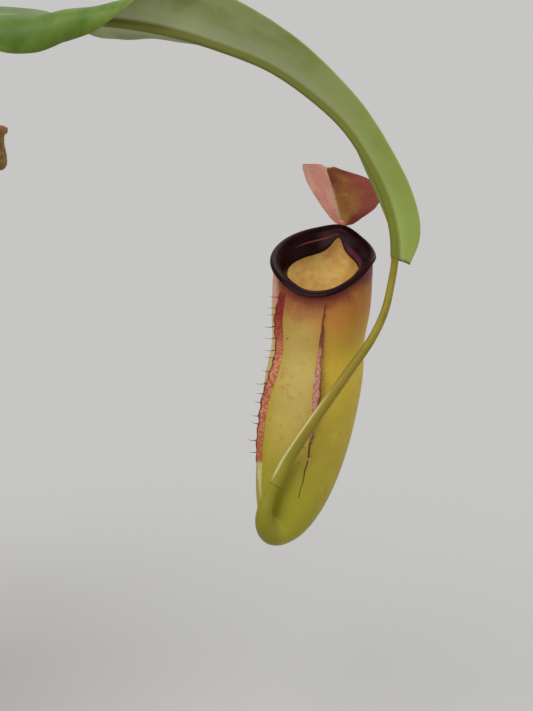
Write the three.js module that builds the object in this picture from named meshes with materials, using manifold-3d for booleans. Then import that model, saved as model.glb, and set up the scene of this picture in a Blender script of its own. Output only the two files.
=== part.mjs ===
// A potted tropical pitcher plant: a round clay pot filled with moss and bark, one upright stem, and strap
// leaves whose midribs run on as tendrils. Five tendrils carry open pitchers and three carry young, closed
// ones. Each open pitcher is a hollow cup with two fringed wings down its front, a ribbed collar round its
// mouth and a lid on a stalk at the back. Millimetres, +Z up, origin at the middle of the pot's underside.
// The longest leaf reaches out along +X, and the front of its pitcher looks towards -Y.
import * as THREE from "three";
import { mergeVertices } from "three/addons/utils/BufferGeometryUtils.js";
import Module from "manifold-3d";

const wasm = await Module();
wasm.setup();

const { cos, sin, PI, abs, exp, sqrt, hypot, min, max } = Math;
const DEGREE = PI / 180;
const vec = (x, y, z) => new THREE.Vector3(x, y, z);

// ---- driving dimensions ----
const GAP = 0.3; // between pieces that touch
const POT = { height: 125, topRadius: 62, baseRadius: 43, wall: 5, floor: 7, rimHeight: 24, rimOut: 4 };
const DRAIN = { count: 4, radius: 4, ring: 24 };
const SOIL_TOP = 113;
const SOIL_DOME = 2.5; // how much higher the middle is
const STEM = { foot: 84, top: 300, footRadius: 5.4, topRadius: 2.6, sway: 2.2 };
const LEAF = { thick: 0.9, rib: 1.5, curl: 12, ripple: 6 }; // rib reaches down; curl and ripple in degrees

// One open pitcher at full size, before it is placed and scaled. Its mouth is centred on its own origin
// and its front looks towards -Y. The wall is a rounded tube that bows forwards to its foot.
const CUP = { radius: 16.8, height: 91, wall: 1.1, forward: 27, floor: 5, rim: -0.6 };
const WING = { splay: 35, thick: 0.7, from: 0.045, to: 0.85, steps: 10 };
const FRINGE = { to: 0.8, tooth: 2.6, toothRadius: 0.42 }; // along a wing's free edge
const LID = { length: 25.2, rise: 60, foldLeft: 34, foldRight: 24, thick: 0.7, behind: 2.2, aside: -0.6 };
const RIB_RISE = 0.28; // of the ribs on a collar

// ---- ways of making shapes ----

// Moves every point of a geometry and drops what the move makes wrong.
function warp(geometry, move) {
  const place = geometry.getAttribute("position");
  const point = vec(0, 0, 0);
  for (let i = 0; i < place.count; i++) {
    const to = move(point.fromBufferAttribute(place, i).clone());
    place.setXYZ(i, to.x, to.y, to.z);
  }
  geometry.deleteAttribute("normal");
  geometry.deleteAttribute("uv");
  return geometry;
}

// A closed geometry as a solid, and a solid as a geometry.
function toSolid(geometry) {
  const bare = geometry.clone();
  bare.deleteAttribute("normal");
  bare.deleteAttribute("uv");
  const merged = mergeVertices(bare, 1e-4);
  const vertProperties = new Float32Array(merged.getAttribute("position").array);
  const triVerts = new Uint32Array(merged.index.array);
  return new wasm.Manifold(new wasm.Mesh({ numProp: 3, vertProperties, triVerts }));
}

function toGeometry(solid) {
  const mesh = solid.getMesh();
  return new THREE.BufferGeometry()
    .setAttribute("position", new THREE.BufferAttribute(new Float32Array(mesh.vertProperties), 3))
    .setIndex(new THREE.BufferAttribute(new Uint32Array(mesh.triVerts), 1));
}

// A curve as a closed tube, whose radius changes along it.
function tube(curve, radiusAt, sides, steps) {
  const frames = curve.computeFrenetFrames(steps, false);
  return warp(new THREE.CylinderGeometry(1, 1, 1, sides, steps), (p) => {
    const i = Math.round((p.y + 0.5) * steps);
    const radius = radiusAt(i / steps);
    return curve
      .getPointAt(i / steps)
      .addScaledVector(frames.binormals[i], p.x * radius)
      .addScaledVector(frames.normals[i], p.z * radius);
  });
}

const smoothCurve = (points) => new THREE.CatmullRomCurve3(points, false, "centripetal");

// A thin plate around the surface place(u, v), with u from 0 to 1 along it and v across it, in columns.
// thickness(v) gives how far the upper and the lower face lie from that surface.
// Both faces are split into triangles along the same diagonals, so they never cross where the plate twists.
function plate(alongSteps, columns, place, thickness) {
  const row = columns.length;
  const acrossSteps = row - 1;
  const upper = [];
  const lower = [];
  const small = 1e-3;
  for (let i = 0; i <= alongSteps; i++) {
    for (const v of columns) {
      const u = i / alongSteps;
      const along = place(min(u + small, 1), v).sub(place(max(u - small, 0), v));
      const across = place(u, min(v + small, 1)).sub(place(u, max(v - small, columns[0])));
      const down = along.cross(across).normalize();
      const [up, under] = thickness(v);
      upper.push(place(u, v).addScaledVector(down, -up));
      lower.push(place(u, v).addScaledVector(down, under));
    }
  }
  const count = upper.length;
  const faces = [];
  for (let i = 0; i < alongSteps; i++) {
    for (let j = 0; j < acrossSteps; j++) {
      const a = i * row + j;
      const b = a + row;
      const c = b + 1;
      const d = a + 1;
      faces.push(count + a, count + b, count + c, count + a, count + c, count + d);
      faces.push(a, c, b, a, d, c);
    }
  }
  const edge = [];
  for (let i = 0; i < alongSteps; i++) edge.push(i * row);
  for (let j = 0; j < acrossSteps; j++) edge.push(alongSteps * row + j);
  for (let i = alongSteps; i > 0; i--) edge.push(i * row + acrossSteps);
  for (let j = acrossSteps; j > 0; j--) edge.push(j);
  edge.forEach((from, k) => {
    const to = edge[(k + 1) % edge.length];
    faces.push(count + to, count + from, from, count + to, from, to);
  });
  return new THREE.BufferGeometry().setFromPoints([...upper, ...lower]).setIndex(faces);
}

// ---- the pot, what fills it, and the stem ----

const potSide = (z) => POT.baseRadius + ((POT.topRadius - POT.rimOut - POT.baseRadius) * z) / POT.height;
const LEDGE = POT.height - POT.rimHeight; // where the thick rim begins
const MOUTH = POT.topRadius - POT.wall; // the pot's radius inside its rim

function potGeometry() {
  const { height, topRadius, baseRadius, wall, floor } = POT;
  const profile = [
    [0, 0],
    [baseRadius - 1.5, 0],
    [baseRadius, 1.5],
    [potSide(LEDGE), LEDGE],
    [topRadius - 0.8, LEDGE + 1],
    [topRadius, height - 2],
    [topRadius - 1.6, height],
    [MOUTH, height - 0.6],
    [potSide(LEDGE) - wall, LEDGE],
    [potSide(floor) - wall, floor + 3],
    [potSide(floor) - wall - 3, floor],
    [0, floor],
  ].map(([r, z]) => new THREE.Vector2(r, z));
  let solid = toSolid(new THREE.LatheGeometry(profile, 30).rotateX(PI / 2));
  for (let k = 0; k < DRAIN.count; k++) {
    const turn = ((k + 0.5) / DRAIN.count) * 2 * PI;
    const hole = new THREE.CylinderGeometry(DRAIN.radius, DRAIN.radius, floor * 3, 10)
      .rotateX(PI / 2)
      .translate(DRAIN.ring * cos(turn), DRAIN.ring * sin(turn), 0);
    solid = solid.subtract(toSolid(hole));
  }
  return toGeometry(solid);
}

// Lumps of moss and bark, as waves of a few lengths that cross.
const lumps = (x, y) =>
  1.5 * sin(x / 5.1 + 0.7) * cos(y / 4.3) + 1.1 * sin(x / 2.9 - y / 3.7) + 0.7 * cos(x / 7 + y / 2.6);

function soilGeometry() {
  const inside = (z) => potSide(z) - POT.wall - 2 * GAP;
  const foot = inside(LEDGE);
  const edge = foot + ((MOUTH - 2 * GAP - foot) * (SOIL_TOP - LEDGE)) / POT.rimHeight;
  const profile = [
    [0, POT.floor + GAP],
    [inside(POT.floor) - 4, POT.floor + GAP],
    [inside(POT.floor), POT.floor + 4],
    [foot, LEDGE],
    ...[1, 0.8, 0.6, 0.4, 0.22].map((share) => [edge * share, SOIL_TOP]),
    [0, SOIL_TOP],
  ].map(([r, z]) => new THREE.Vector2(r, z));
  const bed = warp(new THREE.LatheGeometry(profile, 22).rotateX(PI / 2), (p) => {
    const out = hypot(p.x, p.y) / edge;
    const onTop = p.z > SOIL_TOP - 1e-3 && out < 0.99;
    const rough = out < 0.25 ? 0.3 : 1;
    if (onTop) p.z += SOIL_DOME * (1 - out * out) + rough * lumps(p.x, p.y);
    return p;
  });
  const bore = STEM.footRadius + 2 * GAP;
  const hole = new THREE.CylinderGeometry(bore, bore, 60, 10)
    .rotateX(PI / 2)
    .translate(0, 0, STEM.foot - GAP + 30);
  return toGeometry(toSolid(bed).subtract(toSolid(hole)));
}

// The stem sways a little to each leaf in turn above the soil.
const stemRadius = (z) =>
  STEM.footRadius + ((STEM.topRadius - STEM.footRadius) * max(0, z - SOIL_TOP)) / (STEM.top - SOIL_TOP);
function stemAxis(z) {
  const free = max(0, z - SOIL_TOP - 10) / (STEM.top - SOIL_TOP - 10);
  return vec(STEM.sway * free * sin(z / 13), STEM.sway * free * cos(z / 17) - STEM.sway * free, z);
}
function stemGeometry() {
  const points = [];
  for (let z = STEM.foot; z <= STEM.top; z += 12) points.push(stemAxis(z));
  const rise = STEM.top - STEM.foot;
  return tube(smoothCurve(points), (u) => (u > 0.999 ? 0.6 : stemRadius(STEM.foot + u * rise)), 9, 18);
}

// ---- leaves ----

// A leaf is a list of stations along its midrib, each with its place, the width of its right half, and the
// angles of both halves at the midrib. An angle is counted in the plane across the midrib: 0 is up, out of
// the arch, 90 is sideways to the leaf's right (-Y where the leaf points along +X) and -90 to its left.
// even is how wide the left half is against the right one, and over how far the right half turns on
// towards its edge. corner is how far its last corner reaches past the midrib's end.
function leafSurface(stations, wave, corner) {
  const places = new THREE.CatmullRomCurve3(stations.map((s) => vec(...s.at)));
  const shapes = new THREE.CatmullRomCurve3(stations.map((s) => vec(s.half, s.right, s.left)));
  const halves = new THREE.CatmullRomCurve3(stations.map((s, k) => vec(s.even ?? 1, s.over ?? -LEAF.curl, k)));
  return (u, v) => {
    const { x: half, y: right, z: left } = shapes.getPoint(u);
    const { x: even, y: over } = halves.getPoint(u);
    const along = places.getTangent(u);
    const up = along.clone().cross(vec(0, 1, 0)).normalize();
    const side = along.clone().cross(up).normalize();
    const turn = v >= 0 ? 1 : -1;
    const ripple = LEAF.ripple * sin(wave * 2 * PI * u + 2 * turn) * sin(PI * min(1, u * 1.1));
    const [start, width, on] = v >= 0 ? [right, half, over - ripple] : [left, half * even, LEAF.curl + ripple];
    const bent = (on * DEGREE * abs(v)) / 2;
    const chord = width * abs(v) * (bent ? sin(bent) / bent : 1);
    const angle = start * DEGREE + bent;
    return places
      .getPoint(u)
      .addScaledVector(up, chord * cos(angle))
      .addScaledVector(side, chord * sin(angle))
      .addScaledVector(along, corner * u ** 24 * max(0, v) ** 2);
  };
}

const leafThickness = (v) => [LEAF.thick / 2, v === 0 ? LEAF.rib : LEAF.thick / 2];
const leafGeometry = (stations, steps, columns, wave, corner = 0) =>
  plate(steps, columns, leafSurface(stations, wave, corner), leafThickness);

// The long leaf, from the stem to where its tendril leaves it. Its right half hangs over near the stem,
// rolls over and up as the leaf twists, and ends in a square corner beside the tendril.
const LONG_CORNER = 1.6;
const LONG_LEAF = [
  { at: [3.4, -0.5, 228], half: 4, right: 62, left: -62 },
  { at: [24, -1, 241.5], half: 4.8, right: 74, left: -66 },
  { at: [50, 0, 249.3], half: 10.4, right: 88, left: -76, over: 12 },
  { at: [81, 0, 251], half: 17.9, right: 92, left: -86, over: 86 },
  { at: [94, 0, 250.2], half: 20, right: 70, left: -87, over: 142 },
  { at: [103, 0, 249.5], half: 21, right: 34, left: -98, over: 186 },
  { at: [111.7, 0, 248.8], half: 19.6, right: 14, left: -110, over: 190 },
  { at: [120, 0, 248], half: 19.4, right: -6, left: -111, over: 172 },
  { at: [131, 0, 246.3], half: 19.6, right: -6, left: -101, over: 96 },
  { at: [141, 0, 244], half: 19.4, right: 14, left: -97, over: 26 },
  { at: [152, 0, 240.7], half: 18.7, right: 30, left: -95, over: -4 },
  { at: [169, -1, 234], half: 15.8, right: 40, left: -92 },
  { at: [183, -4, 224.6], half: 13.2, right: 44, left: -90 },
  { at: [194, -7, 214.4], half: 11.4, right: 46, left: -95, even: 0.95 },
  { at: [202.3, -10, 201.6], half: 10.6, right: 44, left: -107, even: 0.85 },
  { at: [207.2, -12, 190.5], half: 10.2, right: 38, left: -112, even: 0.6 },
  { at: [209.5, -14, 180], half: 9, right: 28, left: -105, even: 0.3 },
  { at: [209.8, -15, 172], half: 4.9, right: 20, left: -98, even: 0.28 },
];

// Any other leaf, along +X from a stem at the origin: it leaves the stem at height from, arches over and
// ends at the height to. droop is how much the half blades hang near the base, bend how far its tip
// swings to the left, and fold how far the blade closes towards its tip.
function archedLeaf({ from, reach, to, top, half, droop, fold, bend }) {
  const arch = new THREE.CubicBezierCurve3(
    vec(stemRadius(from) + GAP + 0.9, 0, from),
    vec(reach * 0.3, 0, from + (top - from) * 1.15),
    vec(reach * 0.9, bend * 0.5, top + (top - to) * 0.15),
    vec(reach, bend, to),
  );
  const stations = [];
  for (let k = 0; k <= 8; k++) {
    const u = k / 8;
    const { x, y, z } = arch.getPoint(u);
    const width = u < 0.1 ? 3.6 : half * min(1, 0.35 + 1.6 * u, 0.36 + 1.9 * (1 - u));
    const open = u < 0.1 ? 62 : 62 + (28 + droop - 10 * u) * min(1, u * 3.5) - fold * u * u;
    stations.push({ at: [x, y, z], half: width, right: open, left: -open });
  }
  return stations;
}

// ---- pitchers ----

// The wall's radius at a share of the depth under the mouth: a tube with a slight waist under the collar.
const WAIST = { deep: 0.07, at: 0.3, reach: 0.08 }; // as shares of the radius and of the depth
function cupRadius(share) {
  const waist = 1 - WAIST.deep * exp(-(((share - WAIST.at) / WAIST.reach) ** 2));
  return CUP.radius * waist * sqrt(max(0, 1 - share ** 4.3));
}

// Tables of values spaced evenly round the mouth, from its back over its left side to its front, and on
// over its right side: how high the mouth lies there, and how deep the collar runs down into it.
const MOUTH_RISES = [10.3, 9.4, 7.2, 3.8, -0.2, -4.5, -8.4, -8.2, -4.5, 0.4, 2.7, 6.4];
const COLLAR_DEPTHS = [0.65, 1, 1.05, 1.02, 1.02, 1.07, 0.98, 0.86, 0.83, 0.76, 0.83, 0.8];

// What such a table gives at an angle from the front, as a smooth curve through its values.
function roundMouth(values, turn) {
  const place = (turn / (2 * PI) + 0.5) * values.length;
  const k = Math.floor(place);
  const t = place - k;
  const [before, start, end, after] = [-1, 0, 1, 2].map((j) => values.at((k + j) % values.length));
  const bend = 2 * before - 5 * start + 4 * end - after + (3 * start - before - 3 * end + after) * t;
  return start + ((end - before + bend * t) * t) / 2;
}

// How the straight tube is bent to shape: its mouth rises and falls, and its foot bows forwards and aside.
function bendCup(p, aside) {
  const share = min(1, max(0, -p.z / CUP.height));
  const rise = (roundMouth(MOUTH_RISES, Math.atan2(p.x, -p.y)) * hypot(p.x, p.y)) / CUP.radius;
  const lift = rise * (1 - share) ** 3;
  return vec(p.x + aside * share ** 1.8, p.y - CUP.forward * share ** 1.8, p.z + lift);
}

// The hook under the cup, where the foot turns up in front and narrows into the tendril.
function hookPoints(aside) {
  return [
    vec(aside, -21.5, -81),
    vec(0.9 * aside, -26, -85),
    vec(1.3 * aside, -31, -86),
    vec(1.6 * aside, -35.6, -83),
    vec(1.5 * aside, -37.4, -78),
    vec(0.95 * aside, -35.7, -71.4),
    vec(0.15 * aside, -34, -66),
  ];
}
const HOOK_RADII = [6, 6.2, 4.9, 3.5, 2.7, 2.3, 2.15];

function radiusBetween(radii, u) {
  const place = u * (radii.length - 1);
  const k = min(radii.length - 2, Math.floor(place));
  return radii[k] + (radii[k + 1] - radii[k]) * (place - k);
}

// A smooth curve through a table of evenly spaced numbers.
function smoothTable(values) {
  const curve = new THREE.CatmullRomCurve3(values.map((value, k) => vec(k, value, 0)));
  return (u) => curve.getPoint(u).y;
}

// The wings, from the collar down: how far round from the front each stands, in degrees, and its width.
const WING_ANGLES = {
  left: [22, 26, 24.5, 27, 36, 37.5, 34.5, 32],
  right: [25, 22.5, 21, 20.5, 23, 27, 29, 29],
};
const WING_WIDTHS = {
  left: [2.7, 3.5, 3.3, 3.6, 3.4, 3.1, 2.4, 0.9],
  right: [1, 1.5, 3, 4.8, 4.2, 1.3, 0.9, 0.7],
};
const TOOTH_REACH = { left: 1, right: 0.55 };

// One wing: a ribbon that splays out from the front of the wall, with thin teeth along its free edge.
function wingGeometries(which, teeth) {
  const side = which === "left" ? -1 : 1;
  const angleAt = smoothTable(WING_ANGLES[which]);
  const widthAt = smoothTable(WING_WIDTHS[which]);
  const edgePoint = (u, out) => {
    const share = WING.from + (WING.to - WING.from) * u;
    const angle = side * angleAt(u) * DEGREE;
    const lean = angle + side * WING.splay * DEGREE;
    const root = vec(sin(angle), -cos(angle), 0).multiplyScalar(cupRadius(share) - CUP.wall * 0.6);
    return root.add(vec(out * sin(lean), -out * cos(lean), -share * CUP.height));
  };
  const made = [
    plate(
      WING.steps,
      [0, 1],
      (u, v) => edgePoint(u, v * widthAt(u)),
      () => [WING.thick / 2, WING.thick / 2],
    ),
  ];
  for (let k = 0; k < teeth; k++) {
    const u = ((k + 0.5) / teeth) * FRINGE.to;
    const root = edgePoint(u, widthAt(u) - 0.9);
    const tip = edgePoint(u, widthAt(u) + FRINGE.tooth * TOOTH_REACH[which]);
    const aim = new THREE.Quaternion().setFromUnitVectors(vec(0, 1, 0), tip.clone().sub(root).normalize());
    const length = tip.distanceTo(root);
    made.push(
      new THREE.ConeGeometry(FRINGE.toothRadius, length, 4)
        .translate(0, length / 2, 0)
        .applyQuaternion(aim)
        .translate(root.x, root.y, root.z),
    );
  }
  return made;
}

const lathe = (profile, sides) =>
  new THREE.LatheGeometry(profile.map(([r, z]) => new THREE.Vector2(max(0, r), z)), sides).rotateX(PI / 2);

function cupGeometry(sides, aside, teeth) {
  const outside = [1, 0.975, 0.9, 0.78, 0.62, 0.42, 0.3, 0.2, 0.1].map((s) => [cupRadius(s), -s * CUP.height]);
  const inside = [0.1, 0.21, 0.32, 0.45, 0.68, 0.85, 0.96, 1].map((s) => [
    cupRadius(s) * (1 - CUP.wall / CUP.radius),
    -s * (CUP.height - CUP.floor),
  ]);
  const inner = CUP.radius - CUP.wall;
  const wall = lathe([...outside, [CUP.radius, CUP.rim], [inner, CUP.rim], ...inside], sides);
  const wings = ["left", "right"].flatMap((which) => wingGeometries(which, teeth));
  const bent = [wall, ...wings].map((g) => warp(g, (p) => bendCup(p, aside)));
  const hook = tube(smoothCurve(hookPoints(aside)), (u) => radiusBetween(HOOK_RADII, u), 8, 10);
  const hollow = [[0, 3], [inner, 3], ...inside].reverse();
  const cavity = warp(lathe(hollow, sides), (p) => bendCup(p, aside));
  const whole = [...bent, hook].map(toSolid).reduce((a, b) => a.add(b));
  return toGeometry(whole.subtract(toSolid(cavity)));
}

// The collar: a rolled lip outside, a slope that runs down into the mouth, and a groove that sits over the
// rim of the wall. Its slope narrows at the back, under the lid.
const COLLAR = [
  [0.7, -0.85], [1.05, -0.35], [0.45, 0.45], [-1.4, 0.2], [-3.2, -1.5], [-4.6, -4],
  [-4, -4.6], [-2.2, -2.2], [-1.45, -0.3], [0.35, -0.3], [0.4, -0.8],
];
const COLLAR_SEAT = { inward: 1.5, up: -0.3 }; // where its slope begins, on the inner side of the rim
const COLLAR_CLOSING = 9.5; // degrees from the back over which the slope narrows
function collarGeometry(sides, ribbed) {
  const section = [...COLLAR, COLLAR[0]].map(([out, up]) => [CUP.radius + out, up]);
  return warp(lathe(section, sides), (p) => {
    const turn = Math.atan2(p.x, -p.y);
    const closing = exp(-(((PI - abs(turn)) / (COLLAR_CLOSING * DEGREE)) ** 2));
    const inward = CUP.radius - hypot(p.x, p.y) - COLLAR_SEAT.inward;
    let radius = hypot(p.x, p.y);
    if (inward > 0) {
      const deeper = (1 - 0.6 * closing) * roundMouth(COLLAR_DEPTHS, turn);
      radius = CUP.radius - COLLAR_SEAT.inward - inward * (1 - 0.5 * closing);
      p.z = COLLAR_SEAT.up + (p.z - COLLAR_SEAT.up) * deeper;
    }
    const step = Math.round((turn / (2 * PI)) * sides);
    const rib = ribbed && p.z > COLLAR_SEAT.up + 0.05 && step % 2 === 0 ? RIB_RISE : 0;
    return bendCup(vec(radius * sin(turn), -radius * cos(turn), p.z + rib), 0);
  });
}

// The lid: a broad leaf folded along its middle, raised over the mouth from the back.
const LID_LEFT = [3, 7.4, 12.3, 15.6, 17.9, 18.4, 16, 9.5, 2.5]; // half widths, closer at both ends
const LID_RIGHT = [3, 6.6, 12.2, 15, 15.4, 12.6, 8.2, 4.6, 2];
const LID_END = 0.08; // how little the rows draw together at its ends, from 0 to 0.5
function lidGeometry(along, columns) {
  const rise = LID.rise * DEGREE;
  const ahead = vec(0, -cos(rise), sin(rise));
  const top = vec(0, sin(rise), cos(rise));
  const base = vec(LID.aside, CUP.radius + LID.behind, MOUTH_RISES[0]);
  const widths = { left: smoothTable(LID_LEFT), right: smoothTable(LID_RIGHT) };
  return plate(
    along,
    columns,
    (u, v) => {
      const fold = (v >= 0 ? LID.foldRight : LID.foldLeft) * DEGREE;
      const out = widths[v >= 0 ? "right" : "left"](u) * v;
      const share = 0.5 - cos(PI * (LID_END + (1 - 2 * LID_END) * u)) / (2 * cos(PI * LID_END));
      const wave = 0.03 * sin(7 * share + 2 * v) * out * v;
      return base
        .clone()
        .addScaledVector(ahead, share * LID.length)
        .addScaledVector(vec(1, 0, 0), out * cos(fold))
        .addScaledVector(top, abs(out) * sin(fold) - 2.2 * share * share + wave);
    },
    () => [LID.thick / 2, LID.thick / 2],
  );
}

// A young, closed pitcher: a small club on the end of its tendril, with the lid still shut on top.
function budGeometry(length) {
  const profile = [
    [0, 0], [0.17, 0.03], [0.24, 0.16], [0.23, 0.34], [0.15, 0.68], [0.15, 0.78],
    [0.2, 0.85], [0.16, 0.94], [0, 1],
  ].map(([r, z]) => new THREE.Vector2(r * length, z * length));
  return warp(new THREE.LatheGeometry(profile, 9).rotateX(PI / 2), (p) => {
    const share = p.z / length;
    p.y -= 0.16 * length * share ** 3;
    return p;
  });
}

// ---- materials ----
const paint = (color, roughness) => new THREE.MeshStandardMaterial({ color, roughness, metalness: 0 });
const MATERIALS = {
  clay: paint(0xb9714c, 0.9),
  soil: paint(0x5d4a33, 1),
  stem: paint(0x6f6a35, 0.7),
  leaf: paint(0x7f9a4c, 0.5),
  tendril: paint(0x97963a, 0.5),
  cup: paint(0xb5a547, 0.45),
  collar: paint(0x2a0b12, 0.25),
  lid: paint(0xb5695b, 0.6),
  bud: paint(0x86683a, 0.6),
};

// ---- the plant ----
const plant = new THREE.Group();

function addMesh(parent, name, geometry, material) {
  const mesh = new THREE.Mesh(geometry, material);
  mesh.name = name;
  parent.add(mesh);
  return mesh;
}

addMesh(plant, "pot", potGeometry(), MATERIALS.clay);
addMesh(plant, "soil", soilGeometry(), MATERIALS.soil);
addMesh(plant, "stem", stemGeometry(), MATERIALS.stem);

// How finely a pitcher is made: the sides of its cup and collar, the teeth on each wing and its lid's mesh.
const FINE = { sides: 24, ribs: 36, teeth: 9, lidSteps: 10, lidColumns: [-1, -0.6, -0.25, 0, 0.25, 0.6, 1] };
const PLAIN = { sides: 14, ribs: 14, teeth: 4, lidSteps: 5, lidColumns: [-1, -0.5, 0, 0.5, 1] };

// Adds an open pitcher, and returns the end of its hook, the way out of it and its radius there.
function addPitcher(parent, name, { at, heading, size, aside }, detail) {
  const { sides, ribs, teeth, lidSteps, lidColumns } = detail;
  const pitcher = new THREE.Group();
  pitcher.position.set(...at);
  pitcher.rotation.z = heading * DEGREE;
  pitcher.scale.setScalar(size);
  parent.add(pitcher);
  addMesh(pitcher, `cup_${name}`, cupGeometry(sides, aside, teeth), MATERIALS.cup);
  addMesh(pitcher, `collar_${name}`, collarGeometry(ribs, ribs > sides), MATERIALS.collar);
  addMesh(pitcher, `lid_${name}`, lidGeometry(lidSteps, lidColumns), MATERIALS.lid);
  pitcher.updateMatrix();
  const [before, end] = hookPoints(aside).slice(-2).map((p) => p.applyMatrix4(pitcher.matrix));
  return { end, aim: end.clone().sub(before).normalize(), radius: HOOK_RADII.at(-1) * size };
}

// Adds a closed pitcher that stands on its hook's end, and returns the same of it.
function addBud(parent, name, { at, length, lean }) {
  const bud = new THREE.Group();
  bud.position.set(...at);
  bud.rotation.set(...lean.map((angle) => angle * DEGREE));
  parent.add(bud);
  addMesh(bud, `bud_${name}`, budGeometry(length), MATERIALS.bud);
  bud.updateMatrix();
  const aim = vec(0, 0, -1).applyEuler(bud.rotation);
  return { end: bud.position.clone(), aim, radius: 0.055 * length };
}

// A tendril that leaves a leaf's tip and runs into a hook, a gap clear of both.
const TENDRIL_RADIUS = 1.15;
function addTendril(parent, name, tip, between, hook, steps) {
  const points = [
    tip.at.clone().addScaledVector(tip.aim, GAP),
    ...between,
    hook.end.clone().addScaledVector(hook.aim, 5),
    hook.end.clone().addScaledVector(hook.aim, 2 * GAP),
  ];
  const radiusAt = (u) => TENDRIL_RADIUS + (hook.radius - TENDRIL_RADIUS) * u ** 1.5;
  addMesh(parent, `tendril_${name}`, tube(smoothCurve(points), radiusAt, 5, steps), MATERIALS.tendril);
}

function leafTip(stations) {
  const [before, at] = stations.slice(-2).map((s) => vec(...s.at));
  return { at, aim: at.clone().sub(before).normalize() };
}

// The long leaf with the pitcher that hangs from it.
const LONG_COLUMNS = [-1, -0.55, -0.1, 0, 0.1, 0.4, 0.7, 1];
addMesh(plant, "leaf_long", leafGeometry(LONG_LEAF, 34, LONG_COLUMNS, 4, LONG_CORNER), MATERIALS.leaf);
const longTip = leafTip(LONG_LEAF).at;
const longHook = addPitcher(
  plant,
  "long",
  { at: [187, 0, 170], heading: -25, size: 1, aside: -2.9 },
  FINE,
);
addTendril(
  plant,
  "long",
  { at: longTip, aim: vec(0, -0.05, -1).normalize() },
  [
    vec(208.6, -16, 164.2), vec(206.4, -18.5, 155.7), vec(202.1, -21.5, 147.2), vec(195.2, -26.5, 138.4),
    vec(188.3, -30, 129.3), vec(181.8, -32, 120.4),
  ],
  longHook,
  22,
);

// The other leaves, oldest first. Each is a group turned to its own heading round the stem, in which the
// leaf points along +X. A leaf carries an open pitcher, a bud, or a bare tendril that curls up at its end.
const LEAVES = [
  {
    name: "a", turn: 170, from: 160, reach: 122, to: 120, top: 178,
    half: 15, droop: 20, fold: 10, bend: 14,
  },
  {
    name: "b", turn: 302, from: 176, reach: 116, to: 132, top: 196,
    half: 15, droop: 18, fold: 14, bend: -10,
  },
  {
    name: "c", turn: 88, from: 192, reach: 140, to: 165, top: 226,
    half: 17, droop: 10, fold: 30, bend: 12,
    pitcher: { at: [112, 6, 146], heading: 72, size: 0.82, aside: 3 },
  },
  {
    name: "d", turn: 222.5, from: 210, reach: 148, to: 160, top: 238,
    half: 18, droop: 14, fold: 34, bend: -16,
    pitcher: { at: [122, -6, 150], heading: 60, size: 0.92, aside: -3 },
  },
  {
    name: "e", turn: 140, from: 244, reach: 152, to: 196, top: 274,
    half: 18, droop: 14, fold: 30, bend: 18,
    pitcher: { at: [124, 12, 166], heading: 96, size: 0.9, aside: 3 },
  },
  {
    name: "f", turn: 262, from: 257, reach: 136, to: 214, top: 290,
    half: 17, droop: 8, fold: 34, bend: 14,
    pitcher: { at: [116, 6, 176], heading: 66, size: 0.8, aside: -2 },
  },
  {
    name: "g", turn: 64, from: 269, reach: 100, to: 240, top: 292,
    half: 11.5, droop: 0, fold: 30, bend: 0,
    bud: { at: [116, -8.7, 195.5], length: 18, lean: [0, 0, 0] },
  },
  {
    name: "h", turn: 190, from: 279, reach: 92, to: 284, top: 316,
    half: 11, droop: -6, fold: 30, bend: 12,
    bud: { at: [112, 14, 244], length: 24, lean: [8, 10, 0] },
  },
  {
    name: "i", turn: 327.5, from: 287, reach: 66, to: 322, top: 338,
    half: 9, droop: -14, fold: 26, bend: -8,
    bud: { at: [84, -10, 296], length: 15, lean: [-10, 6, 0] },
  },
];
const COLUMNS = [-1, -0.55, 0, 0.55, 1];

for (const { name, turn, pitcher, bud, ...shape } of LEAVES) {
  const group = new THREE.Group();
  const stem = stemAxis(shape.from);
  group.position.set(stem.x, stem.y, 0);
  group.rotation.z = turn * DEGREE;
  plant.add(group);
  const stations = archedLeaf(shape);
  addMesh(group, `leaf_${name}`, leafGeometry(stations, 11, COLUMNS, 2.5), MATERIALS.leaf);
  const tip = leafTip(stations);
  let hook = { end: tip.at.clone().add(vec(11, 0, -18)), aim: vec(-0.3, 0, -1).normalize(), radius: 0.6 };
  if (pitcher) hook = addPitcher(group, name, pitcher, PLAIN);
  if (bud) hook = addBud(group, name, bud);
  const swing = tip.at.distanceTo(hook.end) * 0.4;
  const hang = new THREE.CubicBezierCurve3(
    tip.at,
    tip.at.clone().addScaledVector(tip.aim, swing),
    hook.end.clone().addScaledVector(hook.aim, swing),
    hook.end,
  );
  addTendril(group, name, tip, [0.2, 0.4, 0.6, 0.8].map((u) => hang.getPoint(u)), hook, 12);
}

// The youngest leaf, still rolled up, stands on the top of the stem and leans a little.
const SPEAR = { length: 62, radius: 2.3, lean: vec(3, 6, 0) };
const spearPoints = [0, 0.3, 0.6, 0.85, 1].map((u) =>
  stemAxis(STEM.top)
    .add(vec(0, 0, GAP + SPEAR.length * u))
    .addScaledVector(SPEAR.lean, u * u),
);
const spearRadius = (u) => max(0.35, SPEAR.radius * sin(PI * (0.25 + 0.75 * u)) ** 0.8);
addMesh(plant, "leaf_young", tube(smoothCurve(spearPoints), spearRadius, 8, 10), MATERIALS.leaf);

export default plant;
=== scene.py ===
"""A potted tropical pitcher plant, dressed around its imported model. The scene is in metres with +Z up.
Shapes are worked out in millimetres and scaled by MM as their mesh is made."""

import functools
import math
import random

import bmesh
import bpy
from mathutils import Matrix, Vector, noise


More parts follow.
